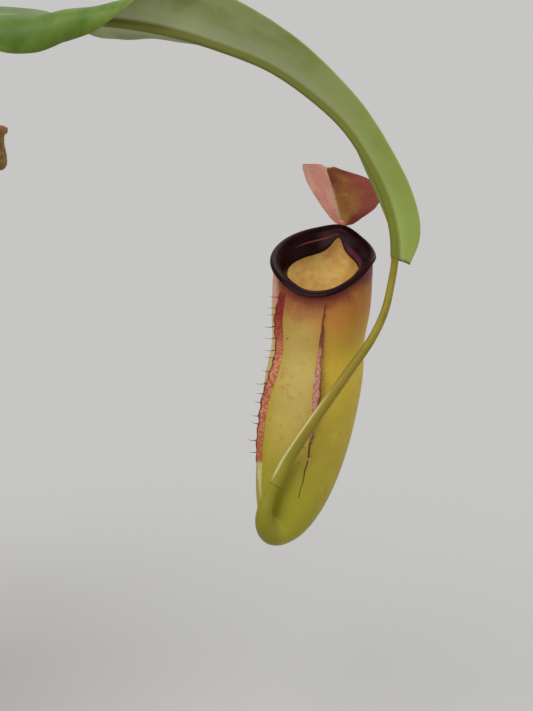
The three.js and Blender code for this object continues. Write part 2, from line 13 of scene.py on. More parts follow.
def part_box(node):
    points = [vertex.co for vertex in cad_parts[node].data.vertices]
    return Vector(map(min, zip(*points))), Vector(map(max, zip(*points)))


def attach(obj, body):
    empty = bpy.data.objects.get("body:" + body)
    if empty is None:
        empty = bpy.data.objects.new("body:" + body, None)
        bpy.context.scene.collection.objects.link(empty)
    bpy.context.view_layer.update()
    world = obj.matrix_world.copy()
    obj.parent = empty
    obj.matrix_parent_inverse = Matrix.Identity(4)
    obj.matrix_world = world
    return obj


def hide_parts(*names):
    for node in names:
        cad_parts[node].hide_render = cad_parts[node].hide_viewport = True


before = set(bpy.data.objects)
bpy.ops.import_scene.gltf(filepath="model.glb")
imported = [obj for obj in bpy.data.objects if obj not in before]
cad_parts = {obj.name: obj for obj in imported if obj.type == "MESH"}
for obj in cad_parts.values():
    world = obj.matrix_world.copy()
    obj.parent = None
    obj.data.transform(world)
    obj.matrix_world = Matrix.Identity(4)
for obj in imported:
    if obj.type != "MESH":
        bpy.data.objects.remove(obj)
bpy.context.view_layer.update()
MM = 0.001


# ---- the view ----
# The camera looks at the hanging pitcher from in front and a little above. It stands so far off that one
# pixel of the photograph is 0.34 mm at the pitcher.
LOOK_AT = Vector((168, 0, 138)) * MM
VIEW_RISE = math.radians(10)
LENS = 75
SENSOR = 36
PHOTO_HEIGHT = 711
PIXEL = 0.34 * MM
camera = bpy.data.objects.new("camera", bpy.data.cameras.new("camera"))
bpy.context.scene.collection.objects.link(camera)
camera.data.lens = LENS
camera.data.sensor_width = SENSOR
camera.data.clip_start = 0.01
back = Vector((0, -math.cos(VIEW_RISE), math.sin(VIEW_RISE)))
camera.location = LOOK_AT + back * (LENS / SENSOR * PHOTO_HEIGHT * PIXEL)
camera.rotation_euler = (math.pi / 2 - VIEW_RISE, 0, 0)
bpy.context.scene.camera = camera


# ---- the light ----
# Broad soft light from the upper left in front, with a weaker one from the right and one from behind. The
# room is the same pale grey all round, so the floor runs into it with no line.
def lamp(name, azimuth, height, power, spread):
    """A far lamp that shines evenly: its azimuth counts from the viewer to the right, in degrees."""
    light = bpy.data.lights.new(name, "SUN")
    light.angle = math.radians(spread)
    light.energy = power
    a, h = math.radians(azimuth), math.radians(height)
    made = bpy.data.objects.new(name, light)
    way = Vector((math.sin(a) * math.cos(h), -math.cos(a) * math.cos(h), math.sin(h)))
    made.rotation_euler = way.to_track_quat("Z", "Y").to_euler()
    bpy.context.scene.collection.objects.link(made)


ROOM = 0.57
lamp("lamp_left", -42, 52, 1.7, 45)
lamp("lamp_right", 55, 35, 0.4, 40)
lamp("lamp_behind", 170, 55, 0.45, 40)
world = bpy.data.worlds.new("room")
world.use_nodes = True
world.node_tree.nodes["Background"].inputs["Color"].default_value = (1, 0.992, 0.972, 1)
world.node_tree.nodes["Background"].inputs["Strength"].default_value = ROOM
bpy.context.scene.world = world
bpy.context.scene.view_settings.view_transform = "Standard"


# ---- the floor ----
# A plain pale floor of matt paper, level, that reaches far out on all sides. It glows a little, so that it
# is as pale as the room where the two meet.
def colour(code):
    """A colour such as "c8a070" as the shader's own linear red, green, blue and alpha."""
    parts = [int(code[k : k + 2], 16) / 255 for k in (0, 2, 4)]
    return (*[c / 12.92 if c < 0.04 else ((c + 0.055) / 1.055) ** 2.4 for c in parts], 1)


class Field:
    """A value, a vector or a colour that changes over a surface. Values can be added and multiplied."""

    def __init__(self, finish, socket):
        self.finish = finish
        self.socket = socket

    def math(self, operation, first, second=0.0):
        return self.finish.node("Math", {"operation": operation}, {0: first, 1: second})

    def __add__(self, other):
        return self.math("ADD", self, other)

    def __mul__(self, other):
        return self.math("MULTIPLY", self, other)

    def __sub__(self, other):
        return self.math("SUBTRACT", self, other)

    def __rsub__(self, other):
        return self.math("SUBTRACT", other, self)

    def __truediv__(self, other):
        return self.math("DIVIDE", self, other)

    def __pow__(self, other):
        return self.math("POWER", self, other)

    def __abs__(self):
        return self.math("ABSOLUTE", self)

    __radd__ = __add__
    __rmul__ = __mul__

    def wave(self):
        return self.math("SINE", self)

    def step(self, low, high):
        """0 below low and 1 above high, with a smooth rise between. With low over high it falls."""
        limits = {"Value": self, "From Min": low, "From Max": high}
        return self.finish.node("MapRange", {"interpolation_type": "SMOOTHSTEP"}, limits)

    def parts(self):
        """The three numbers of a vector."""
        split = self.finish.node("SeparateXYZ", {}, {"Vector": self}).socket.node
        return [Field(self.finish, split.outputs[k]) for k in range(3)]


class Finish:
    """One material. Its keywords set numbers and colours that are the same all over the surface."""

    def __init__(self, name, **surface):
        self.material = bpy.data.materials.new(name)
        self.material.use_nodes = True
        self.tree = self.material.node_tree
        self.wear(**surface)

    def put(self, node, inputs):
        for key, value in inputs.items():
            if isinstance(value, Field):
                self.tree.links.new(value.socket, node.inputs[key])
            else:
                node.inputs[key].default_value = value

    def node(self, kind, settings, inputs, output=0):
        """Any node by its type, with its settings, then its sockets' values or links."""
        made = self.tree.nodes.new("ShaderNode" + kind)
        for key, value in settings.items():
            setattr(made, key, value)
        self.put(made, inputs)
        return Field(self, made.outputs[output])

    def place(self):
        return self.node("TexCoord", {}, {}, "Object")

    def trait(self, name, output="Fac"):
        """What the mesh stores under this name at its corners."""
        return self.node("Attribute", {"attribute_name": name}, {}, output)

    def stretch(self, place, x, y, z):
        return self.node("VectorMath", {"operation": "MULTIPLY"}, {0: place, 1: (x, y, z)})

    def join(self, x, y, z=0.0):
        return self.node("CombineXYZ", {}, {0: x, 1: y, 2: z})

    def noise(self, place, scale, detail=3, rough=0.55):
        inputs = {"Vector": place, "Scale": scale, "Detail": detail, "Roughness": rough}
        return self.node("TexNoise", {}, inputs)

    def cells(self, place, scale):
        """How far the nearest of many scattered points is, in cells."""
        return self.node("TexVoronoi", {}, {"Vector": place, "Scale": scale})

    def paint(self, first, *coats):
        """A colour with coats laid over it, each a share and a colour. A colour is a code or a field."""
        below = colour(first) if isinstance(first, str) else first
        for share, code in coats:
            above = colour(code) if isinstance(code, str) else code
            below = self.node("Mix", {"data_type": "RGBA"}, {0: share, 6: below, 7: above}, 2)
        return below

    def wear(self, **surface):
        """Sets what the shader shows. What changes over the surface is given as a field."""
        self.put(self.tree.nodes["Principled BSDF"], {k.replace("_", " "): v for k, v in surface.items()})

    def bump(self, height, depth):
        """A relief of this depth in millimetres, from a height of 0 to 1."""
        self.wear(Normal=self.node("Bump", {}, {"Height": height, "Distance": depth * MM}))


FLOOR_RADIUS = 40
floor_form = bmesh.new()
bmesh.ops.create_circle(floor_form, cap_ends=True, segments=96, radius=FLOOR_RADIUS)


def new_piece(name, form, material):
    """Puts a finished bmesh in the scene under this name, with smooth shading."""
    mesh = bpy.data.meshes.new(name)
    form.to_mesh(mesh)
    form.free()
    mesh.shade_smooth()
    mesh.materials.append(material)
    made = bpy.data.objects.new(name, mesh)
    bpy.context.scene.collection.objects.link(made)
    return made


paper = Finish(
    "lit_paper", Roughness=1.0, Specular_IOR_Level=0.0,
    Emission_Color=(0.993, 0.997, 1, 1), Emission_Strength=0.2753,
)
paper_tone = paper.noise(paper.place(), 3.0, 1)
paper.wear(Base_Color=paper.paint("888785", (paper_tone, "8a8987")))
new_piece("floor", floor_form, paper.material)


# ---- the pot ----
# A thrown clay flower pot: a tapering wall, a thick rim and a flat floor with four drain holes. It is
# fired and unglazed, so lime has bloomed on it where water dries, and it is darker at the foot.
POT_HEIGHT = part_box("pot")[1].z / MM
POT_RADIUS = 62
POT_BASE = 43
POT_WALL = 5
POT_FLOOR = 7
RIM_HEIGHT = 24
RIM_OUT = 4
DRAIN_RADIUS = 4
DRAIN_RING = 24
LEDGE = POT_HEIGHT - RIM_HEIGHT
MOUTH = POT_RADIUS - POT_WALL


def pot_side(z):
    return POT_BASE + (POT_RADIUS - RIM_OUT - POT_BASE) * z / POT_HEIGHT


def thrown(z):
    """The fine rings that the potter's fingers leave."""
    return 0.16 * math.sin(z * 1.35) + 0.1 * math.sin(z * 0.61 + 1)


pot_line = [(0, 0), (POT_BASE - 1.5, 0), (POT_BASE - 0.5, 0.4), (POT_BASE, 1.6)]
pot_line += [(pot_side(z) + thrown(z), z) for z in range(3, round(LEDGE), 2)]
pot_line += [(pot_side(LEDGE), LEDGE - 0.4), (POT_RADIUS - 1.6, LEDGE + 0.1), (POT_RADIUS - 0.9, LEDGE + 1)]
rim_rings = range(round(LEDGE) + 3, round(POT_HEIGHT) - 3, 2)
pot_line += [(POT_RADIUS - 0.7 + 0.6 * thrown(z), z) for z in rim_rings]
pot_line += [(POT_RADIUS - 0.2, POT_HEIGHT - 2.4), (POT_RADIUS - 0.9, POT_HEIGHT - 0.6)]
pot_line += [(POT_RADIUS - 2.2, POT_HEIGHT), (MOUTH + 1.2, POT_HEIGHT), (MOUTH, POT_HEIGHT - 1)]
pot_line += [(pot_side(LEDGE) - POT_WALL, LEDGE), (pot_side(POT_FLOOR) - POT_WALL, POT_FLOOR + 3)]
pot_line += [(pot_side(POT_FLOOR) - POT_WALL - 3, POT_FLOOR), (0, POT_FLOOR)]
pot_form = bmesh.new()
pot_corners = [pot_form.verts.new(Vector((r, 0, z)) * MM) for r, z in pot_line]
pot_edges = [pot_form.edges.new(pair) for pair in zip(pot_corners, pot_corners[1:])]
bmesh.ops.spin(
    pot_form, geom=pot_corners + pot_edges, cent=(0, 0, 0), axis=(0, 0, 1),
    angle=2 * math.pi, steps=120, use_merge=True,
)
bmesh.ops.remove_doubles(pot_form, verts=pot_form.verts, dist=0.001 * MM)
bmesh.ops.recalc_face_normals(pot_form, faces=pot_form.faces)
drain_form = bmesh.new()
for k in range(4):
    turn = (k + 0.5) / 4 * 2 * math.pi
    hole_place = Matrix.Translation(Vector((math.cos(turn), math.sin(turn), 0)) * DRAIN_RING * MM)
    bmesh.ops.create_cone(
        drain_form, cap_ends=True, segments=32, radius1=DRAIN_RADIUS * MM, radius2=DRAIN_RADIUS * MM,
        depth=POT_FLOOR * 3 * MM, matrix=hole_place,
    )

clay = Finish("fired_clay", Roughness=0.9, Specular_IOR_Level=0.25)
clay_place = clay.place()
clay_blotch = clay.noise(clay_place, 28, 5, 0.62)
clay_fine = clay.noise(clay_place, 900, 4, 0.7)
clay_height = clay_place.parts()[2] / MM
clay_lime = clay.noise(clay.stretch(clay_place, 1, 1, 2.2), 55, 6, 0.7).step(0.5, 0.66)
clay_lime = clay_lime * clay_height.step(4, 30) * (1 - clay_height.step(92, 122) * 0.75)
clay_damp = clay_height.step(26, 0) * clay_blotch.step(0.3, 0.6)
clay_colour = clay.paint(
    "a85f3d",
    (clay_blotch.step(0.3, 0.72), "c77e56"),
    (clay_damp * 0.55, "6f4330"),
    (clay_lime * 0.55, "d9c3a8"),
    (clay_fine.step(0.62, 0.75) * 0.35, "8d5136"),
)
clay.wear(Base_Color=clay_colour, Roughness=0.8 + clay_lime * 0.15)
clay.bump(clay_fine * 0.5 + clay.noise(clay_place, 180, 3) * 0.5, 0.35)

pot = new_piece("pot_clay", pot_form, clay.material)
drains = new_piece("drains", drain_form, clay.material)
cut = pot.modifiers.new("drain_holes", "BOOLEAN")
cut.operation = "DIFFERENCE"
cut.solver = "EXACT"
cut.object = drains
pot_whole = bpy.data.meshes.new_from_object(pot.evaluated_get(bpy.context.evaluated_depsgraph_get()))
pot.modifiers.remove(cut)
pot.data = pot_whole
bpy.data.objects.remove(drains)
pot_edge = pot.modifiers.new("worn_edges", "BEVEL")
pot_edge.width = 0.5 * MM
pot_edge.segments = 2
pot_edge.angle_limit = math.radians(35)
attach(pot, "root")
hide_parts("pot")


# ---- the growing mix ----
# Moss, bark chips and white grit, filled to a finger's width below the rim and pressed round the stem. The
# bed is one lumpy body; the chips, the grit and the moss tufts lie on it.
SOIL_TOP = 113
SOIL_DOME = 2.5
STEM_FOOT_RADIUS = 5.4
SOIL_EDGE = MOUTH - 0.6 - (MOUTH - pot_side(LEDGE) + POT_WALL) * (POT_HEIGHT - SOIL_TOP) / RIM_HEIGHT


def add_sheet(form, steps_u, steps_v, place, traits=None):
    """Adds a grid whose corner (u, v) is moved to place(u, v), in millimetres, with (u, v) as its UV.
    traits(u, v) gives what each corner stores, by name."""
    uv = form.loops.layers.uv.verify()
    layers = {}
    for key, value in (traits(0.5, 0.5) if traits else {}).items():
        kind = form.verts.layers.float if isinstance(value, float) else form.verts.layers.float_vector
        layers[key] = kind.get(key) or kind.new(key)
    corners = bmesh.ops.create_grid(form, x_segments=steps_u, y_segments=steps_v, size=0.5)["verts"]
    shares = {c: (c.co.x + 0.5, c.co.y + 0.5) for c in corners}
    for face in {f for c in corners for f in c.link_faces}:
        for loop in face.loops:
            loop[uv].uv = shares[loop.vert]
    for corner, (u, v) in shares.items():
        corner.co = place(u, v) * MM
        for key, value in (traits(u, v) if layers else {}).items():
            corner[layers[key]] = value
    return corners


def close_up(form):
    """Merges what meets, and turns every face outwards."""
    bmesh.ops.remove_doubles(form, verts=form.verts, dist=0.002 * MM)
    bmesh.ops.dissolve_degenerate(form, edges=form.edges, dist=0.001 * MM)
    bmesh.ops.recalc_face_normals(form, faces=form.faces)


def on_circle(v, radius, z):
    turn = 2 * math.pi * v
    return Vector((radius * math.cos(turn), radius * math.sin(turn), z))


def soil_height(x, y):
    out = math.hypot(x, y) / SOIL_EDGE
    wide = 1.5 * math.sin(x / 5.1 + 0.7) * math.cos(y / 4.3) + 1.1 * math.sin(x / 2.9 - y / 3.7)
    fine = 1.3 * noise.noise(Vector((x, y, 3)) / 2.4) + 0.6 * noise.noise(Vector((x, y, 9)) / 0.9)
    calm = 0.35 + 0.65 * min(1, out * 3)
    return SOIL_TOP + SOIL_DOME * (1 - out * out) + (wide * 0.8 + fine) * calm * min(1, (1 - out) * 9 + 0.3)


def soil_place(u, v):
    """From the middle of the top to the edge, down the side and in under the foot."""
    if u <= 0.8:
        spot = on_circle(v, SOIL_EDGE * u / 0.8, 0)
        return Vector((spot.x, spot.y, soil_height(spot.x, spot.y)))
    down = (u - 0.8) / 0.2
    if down < 0.3:
        return on_circle(v, SOIL_EDGE, SOIL_TOP - 12 * down)
    if down < 0.8:
        return on_circle(v, pot_side(LEDGE - 70 * (down - 0.3)) - POT_WALL - 1, LEDGE - 160 * (down - 0.3))
    return on_circle(v, max(0, 30 * (1 - down) / 0.2), POT_FLOOR + 0.5)


soil_form = bmesh.new()
add_sheet(soil_form, 75, 180, soil_place)
close_up(soil_form)
mix_finish = Finish("moss_and_bark_bed", Roughness=0.95, Specular_IOR_Level=0.2)
mix_place = mix_finish.place()
mix_lump = mix_finish.noise(mix_place, 240, 5, 0.7)
mix_patch = mix_finish.noise(mix_place, 60, 3)
mix_colour = mix_finish.paint(
    "2f2318", (mix_lump.step(0.35, 0.65), "6b5236"), (mix_patch.step(0.45, 0.62) * 0.7, "75703a"),
)
mix_finish.wear(Base_Color=mix_colour)
mix_finish.bump(mix_lump, 1.2)
soil = new_piece("growing_mix", soil_form, mix_finish.material)
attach(soil, "root")
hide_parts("soil")

BARK_CHIPS = 210
GRIT_GRAINS = 190
chance = random.Random(41)


def spot_on_soil(clear):
    """A place on the bed that is clear of the stem and of the pot, with room for a piece of that size."""
    while True:
        out = (SOIL_EDGE - clear) * math.sqrt(chance.random())
        spot = on_circle(chance.random(), out, 0)
        if out > STEM_FOOT_RADIUS + clear:
            return Vector((spot.x, spot.y, soil_height(spot.x, spot.y)))


def scatter(form, count, low, high, flat, sink):
    """Lays chips or grains on the bed: rough balls of few faces, flattened and turned at random."""
    for _ in range(count):
        size = chance.uniform(low, high)
        spot = spot_on_soil(size)
        shape = Matrix.Diagonal((size, size * chance.uniform(0.5, 0.9), size * flat, 1))
        tip_over = Matrix.Rotation(chance.uniform(-0.5, 0.5), 4, "X")
        turn = tip_over @ Matrix.Rotation(chance.uniform(0, 6.3), 4, "Z")
        put = Matrix.Translation((spot + Vector((0, 0, size * flat * sink))) * MM) @ turn @ shape
        corners = bmesh.ops.create_icosphere(form, subdivisions=1, radius=MM, matrix=put)["verts"]
        for corner in corners:
            corner.co += Vector([chance.uniform(-1, 1) for _ in range(3)]) * size * 0.17 * MM


bark_form = bmesh.new()
scatter(bark_form, BARK_CHIPS, 2.0, 4.6, 0.34, 0.4)
bark = Finish("bark", Roughness=0.85, Specular_IOR_Level=0.3)
bark_place = bark.place()
bark_grain = bark.noise(bark.stretch(bark_place, 1, 1, 3), 420, 4, 0.65)
bark_tone = bark.noise(bark_place, 90, 2)
bark_colour = bark.paint(
    "3c2516", (bark_tone.step(0.35, 0.65), "7d5230"), (bark_grain.step(0.5, 0.7) * 0.5, "a07a50"),
)
bark.wear(Base_Color=bark_colour)
bark.bump(bark_grain, 0.5)
chips = new_piece("bark_chips", bark_form, bark.material)
chips.data.shade_flat()
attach(chips, "root")
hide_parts("soil")

grit_form = bmesh.new()
scatter(grit_form, GRIT_GRAINS, 0.6, 1.5, 0.8, 0.5)
grit = Finish("white_grit", Roughness=0.9)
grit_grain = grit.noise(grit.place(), 700, 3)
grit.wear(Base_Color=grit.paint("cfc9bb", (grit_grain, "f1eee6")))
grit.bump(grit_grain, 0.3)
grains = new_piece("grit_grains", grit_form, grit.material)
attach(grains, "root")
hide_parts("soil")

MOSS_TUFTS = 60
MOSS_LEAVES = 11


def add_spike(form, root, tip, radius, bow, sides=4, steps=3):
    """A thin spike from root to tip, pushed aside by bow at its middle. All in millimetres."""
    ahead = tip - root
    across = ahead.orthogonal().normalized()
    over = ahead.normalized().cross(across)

    def place(u, v):
        turn = 2 * math.pi * v
        thin = radius * (1 - u) ** 0.8
        centre = root + ahead * u + bow * (4 * u * (1 - u))
        return centre + (across * math.cos(turn) + over * math.sin(turn)) * thin

    add_sheet(form, steps, sides, place)


moss_form = bmesh.new()
for _ in range(MOSS_TUFTS):
    middle = spot_on_soil(2.5)
    for k in range(MOSS_LEAVES):
        turn = 2 * math.pi * (k / MOSS_LEAVES + chance.uniform(-0.04, 0.04))
        length = chance.uniform(2.2, 5.2)
        lean = chance.uniform(0.35, 1.25)
        tip = Vector((math.cos(turn) * math.sin(lean), math.sin(turn) * math.sin(lean), math.cos(lean)))
        bow = Vector((0, 0, chance.uniform(0.2, 0.9)))
        add_spike(moss_form, middle, middle + tip * length * 0.8, 0.42, bow)
close_up(moss_form)
moss = Finish("dry_moss", Roughness=0.9)
moss_tone = moss.noise(moss.place(), 120, 3)
moss.wear(Base_Color=moss.paint("6d7a35", (moss_tone.step(0.35, 0.65), "b7a76c")))
tufts = new_piece("moss_tufts", moss_form, moss.material)
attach(tufts, "root")
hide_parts("soil")


# ---- the stem ----
# One upright stem, woody at its foot and green at its top. It is ringed where leaves grow and have grown,
# and sways a little from side to side as it rises.
STEM_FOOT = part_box("stem")[0].z / MM
STEM_TOP = 300
STEM_TOP_RADIUS = 2.6
STEM_SWAY = 2.2
STEM_FREE = SOIL_TOP + 10


def stem_radius(z):
    up = max(0, z - SOIL_TOP) / (STEM_TOP - SOIL_TOP)
    return STEM_FOOT_RADIUS + (STEM_TOP_RADIUS - STEM_FOOT_RADIUS) * up


def stem_axis(z):
    free = max(0, z - STEM_FREE) / (STEM_TOP - STEM_FREE)
    return Vector((STEM_SWAY * free * math.sin(z / 13), STEM_SWAY * free * (math.cos(z / 17) - 1), z))


LEAF_SCARS = (121, 127.5, 133, 139.5, 146, 151.5, 160, 176, 192, 210, 228, 244, 257, 269, 279, 287)


def stem_place(u, v):
    z = STEM_FOOT + (STEM_TOP - STEM_FOOT) * u
    swell = sum(0.42 * math.exp(-(((z - scar) / 1.1) ** 2)) for scar in LEAF_SCARS)
    rough = 0.2 * noise.noise(Vector((math.cos(2 * math.pi * v) * 2, math.sin(2 * math.pi * v) * 2, z / 6)))
    radius = 0 if u in (0, 1) else stem_radius(z) + swell + rough
    return stem_axis(z) + on_circle(v, radius, 0)


stem_form = bmesh.new()
add_sheet(stem_form, 240, 28, stem_place)
close_up(stem_form)
stem_finish = Finish("stem_bark", Roughness=0.7, Specular_IOR_Level=0.35)
stem_spot = stem_finish.place()
stem_height = stem_spot.parts()[2] / MM
stem_grain = stem_finish.noise(stem_finish.stretch(stem_spot, 1, 1, 0.22), 900, 4, 0.6)
stem_blotch = stem_finish.noise(stem_spot, 150, 3)
stem_wood = stem_finish.paint("4a3a22", (stem_grain.step(0.35, 0.65), "8a7347"))
stem_green = stem_finish.paint("7d8a3c", (stem_blotch.step(0.4, 0.6), "93973f"))
stem_ripe = (stem_height + stem_blotch * 50).step(170, 235)
stem_finish.wear(Base_Color=stem_finish.paint(stem_wood, (stem_ripe, stem_green)))
stem_finish.bump(stem_grain, 0.3)
stem = new_piece("stem_woody", stem_form, stem_finish.material)
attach(stem, "root")
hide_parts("stem")


# ---- the leaves ----
# Each is a thin leathery strap that clasps the stem at its foot, arches over and droops. Its midrib is a
# raised cord underneath and a groove on top. The long leaf twists, so its underside faces the front.
LEAF_THICK = 0.5
LEAF_CURL = 12
LEAF_RIPPLE = 6
RIB_DEEP = 1.15
RIB_WIDE = 1.25
GROOVE_DEEP = 0.3


def smooth_path(points):
    """A smooth curve through these points, as a function of the share along it."""
    rows = [Vector(p) for p in points]
    rows = [2 * rows[0] - rows[1], *rows, 2 * rows[-1] - rows[-2]]
    last = len(rows) - 3

    def at(share):
        spot = min(max(share, 0), 1) * last
        k = min(int(spot), last - 1)
        before, start, end, after = rows[k : k + 4]
        pairs = ((before, start), (start, end), (end, after))
        d0, d1, d2 = [max((b - a).length, 1e-6) ** 0.5 for a, b in pairs]
        leave = ((start - before) / d0 - (end - before) / (d0 + d1) + (end - start) / d1) * d1
        arrive = ((end - start) / d1 - (after - start) / (d1 + d2) + (after - end) / d2) * d1
        t = spot - k
        bend = (2 * start - 2 * end + leave + arrive) * t
        return start + (leave + (3 * (end - start) - 2 * leave - arrive + bend) * t) * t

    return at


def leaf_surface(stations, waves, corner):
    """A leaf's middle surface. u runs along its midrib, v across from its left edge, -1, to its right, 1.
    A station holds a place, the width of the right half, the angles of the right and left halves at the
    midrib, how wide the left half is against the right, and how far the right half turns on to its edge.
    corner is how far the blade's last corner reaches on."""
    places = smooth_path([s[0] for s in stations])
    shapes = smooth_path([s[1:] for s in stations])

    @functools.cache
    def spine(u):
        along = (places(min(1, u + 1e-4)) - places(max(0, u - 1e-4))).normalized()
        up = along.cross(Vector((0, 1, 0))).normalized()
        return places(u), up, along.cross(up).normalized(), along, shapes(u)

    @functools.cache
    def at(u, v):
        spot, up, side, along, (half, right, left, even, over) = spine(u)
        turn = 1 if v >= 0 else -1
        calm = math.sin(math.pi * min(1, u * 1.1))
        ripple = LEAF_RIPPLE * math.sin(waves * 2 * math.pi * u + 2 * turn) * calm
        right_half = (right, half, over - ripple)
        angle, width, on = right_half if v >= 0 else (left, half * even, LEAF_CURL + ripple)
        bent = math.radians(on) * abs(v) / 2
        chord = width * abs(v) * (math.sin(bent) / bent if bent else 1)
        angle = math.radians(angle) + bent
        reach = corner * u**24 * max(0, v) ** 2
        return spot + (up * math.cos(angle) + side * math.sin(angle)) * chord + along * reach

    return at, lambda u, v: spine(u)[4][0] * (1 if v >= 0 else spine(u)[4][3])


def column(w):
    """Spreads the columns of a leaf's mesh so that they lie close at the rib and at the edges."""
    out = abs(2 * w - 1)
    near = 0.3
    share = out / near * 0.13 if out < near else 0.13 + 0.87 * (1 - (1 - (out - near) / (1 - near)) ** 1.5)
    return math.copysign(share, 2 * w - 1)


def add_leaf(form, stations, waves, steps, columns, age, rib=1.0, corner=0.0, place=Matrix.Identity(4)):
    """A leaf's upper and lower skin, which meet all round its edge."""
    surface, half_at = leaf_surface(stations, waves, corner)
    small = 1e-3
    path = [Vector(s[0]) for s in stations]
    length = sum((b - a).length for a, b in zip(path, path[1:]))

    @functools.cache
    def down(u, v):
        along = surface(min(1, u + small), v) - surface(max(0, u - small), v)
        across = surface(u, min(1, v + small)) - surface(u, max(-1, v - small))
        return along.cross(across).normalized()

    for under in (0, 1):

        def put(u, w, under=under):
            u = round(u * steps) / steps
            v = column(round(w * columns) / columns)
            half = half_at(u, v)
            aside = abs(v) * half
            edge = min(1, (1 - abs(v)) * half / 0.5, (1 - u) * length / 0.5, u * length / 0.5)
            thick = LEAF_THICK / 2 * math.sqrt(max(0, edge * (2 - edge)))
            swell = rib * math.exp(-((aside / RIB_WIDE) ** 2)) * min(1, (1 - u) * length / 2, u * length / 2)
            rise = thick + RIB_DEEP * swell if under else -thick + GROOVE_DEEP * swell
            return place @ (surface(u, v) + down(u, v) * rise)

        def stored(u, w, under=under):
            u = round(u * steps) / steps
            v = column(round(w * columns) / columns)
            return {
                "blade": (u * length, v * half_at(u, v), half_at(u, v)),
                "under": float(under),
                "age": age,
            }

        add_sheet(form, steps, columns, put, stored)


LONG_LEAF = [
    ((3.4, -0.5, 228), 4, 62, -62, 1, -12),
    ((24, -1, 241.5), 4.8, 74, -66, 1, -12),
    ((50, 0, 249.3), 10.4, 88, -76, 1, 12),
    ((81, 0, 251), 17.9, 92, -86, 1, 86),
    ((94, 0, 250.2), 20, 70, -87, 1, 142),
    ((103, 0, 249.5), 21, 34, -98, 1, 186),
    ((111.7, 0, 248.8), 19.6, 14, -110, 1, 190),
    ((120, 0, 248), 19.4, -6, -111, 1, 172),
    ((131, 0, 246.3), 19.6, -6, -101, 1, 96),
    ((141, 0, 244), 19.4, 14, -97, 1, 26),
    ((152, 0, 240.7), 18.7, 30, -95, 1, -4),
    ((169, -1, 234), 15.8, 40, -92, 1, -12),
    ((183, -4, 224.6), 13.2, 44, -90, 1, -12),
    ((194, -7, 214.4), 11.4, 46, -95, 0.95, -12),
    ((202.3, -10, 201.6), 10.6, 44, -107, 0.85, -12),
    ((207.2, -12, 190.5), 10.2, 38, -112, 0.6, -12),
    ((209.5, -14, 180), 9, 28, -105, 0.3, -12),
    ((209.8, -15, 172), 4.9, 20, -98, 0.28, -12),
]
LONG_CORNER = 1.6


NECK_HALF = 3.6
NECK_SPREAD = 62


def bow_point(corners, u):
    """A point of the soft curve from the first corner to the last, drawn towards the two between."""
    weights = ((1 - u) ** 3, 3 * u * (1 - u) ** 2, 3 * u * u * (1 - u), u**3)
    return sum((p * w for p, w in zip(corners, weights)), Vector())


def arched_leaf(leaf):
    """The stations of any other leaf, along +X from the stem: it leaves it at height base, rises to about
    top and ends at height tip. droop is how far its halves hang, fold how far they close near the tip."""
    base, reach, tip, top, bend = [leaf[k] for k in ("base", "reach", "tip", "top", "bend")]
    arch = [
        Vector((stem_radius(base) + 1.2, 0, base)),
        Vector((reach * 0.3, 0, base + (top - base) * 1.15)),
        Vector((reach * 0.9, bend * 0.5, top + (top - tip) * 0.15)),
        Vector((reach, bend, tip)),
    ]
    stations = []
    for k in range(9):
        u = k / 8
        width = leaf["half"] * min(1, 0.35 + 1.6 * u, 0.36 + 1.9 * (1 - u)) if k else NECK_HALF
        droop = 28 + leaf["droop"] - 10 * u
        spread = NECK_SPREAD + droop * min(1, u * 3.5) - leaf["fold"] * u * u
        stations.append((bow_point(arch, u), width, spread, -spread, 1, -LEAF_CURL))
    return stations


LEAVES = {
    "a": dict(turn=170, base=160, reach=122, tip=120, top=178, half=15, droop=20, fold=10, bend=14),
    "b": dict(turn=302, base=176, reach=116, tip=132, top=196, half=15, droop=18, fold=14, bend=-10),
    "c": dict(turn=88, base=192, reach=140, tip=165, top=226, half=17, droop=10, fold=30, bend=12),
    "d": dict(turn=222.5, base=210, reach=148, tip=160, top=238, half=18, droop=14, fold=34, bend=-16),
    "e": dict(turn=140, base=244, reach=152, tip=196, top=274, half=18, droop=14, fold=30, bend=18),
    "f": dict(turn=262, base=257, reach=136, tip=214, top=290, half=17, droop=8, fold=34, bend=14),
    "g": dict(turn=64, base=269, reach=100, tip=240, top=292, half=11.5, droop=0, fold=30, bend=0),
    "h": dict(turn=190, base=279, reach=92, tip=284, top=316, half=11, droop=-6, fold=30, bend=12),
    "i": dict(turn=327.5, base=287, reach=66, tip=322, top=338, half=9, droop=-14, fold=26, bend=-8),
}


def round_stem(leaf):
    """The place of a leaf that is drawn along +X: turned round the stem, at the stem's own axis there."""
    axis = stem_axis(leaf["base"])
    return Matrix.Translation((axis.x, axis.y, 0)) @ Matrix.Rotation(math.radians(leaf["turn"]), 4, "Z")


def add_clasp(form, base, turn, age):
    """The foot of a leaf, which wraps most of the stem and runs down it a little way."""

    def put(u, v, outer):
        lap = (v - 0.5) * 1.75 * math.pi
        low = base - 7 * math.cos(lap / 2) ** 2 - 0.5
        high = base + 3.2 * math.cos(lap / 2) ** 2 + 0.3
        z = low + (high - low) * u
        thick = 0.9 * math.sin(math.pi * u) ** 0.6 * math.sin(math.pi * v) ** 0.5 if outer else 0
        spread = 1.0 * u * u * math.cos(lap / 2) ** 2
        radius = stem_radius(z) + 0.25 + thick + spread
        angle = math.radians(turn) + lap
        return stem_axis(z) + Vector((math.cos(angle), math.sin(angle), 0)) * radius

    for outer in (False, True):
        add_sheet(
            form, 8, 24, lambda u, v, outer=outer: put(u, v, outer),
            lambda u, v: {"blade": (0.0, 3.0, 8.0), "under": 1.0, "age": age},
        )


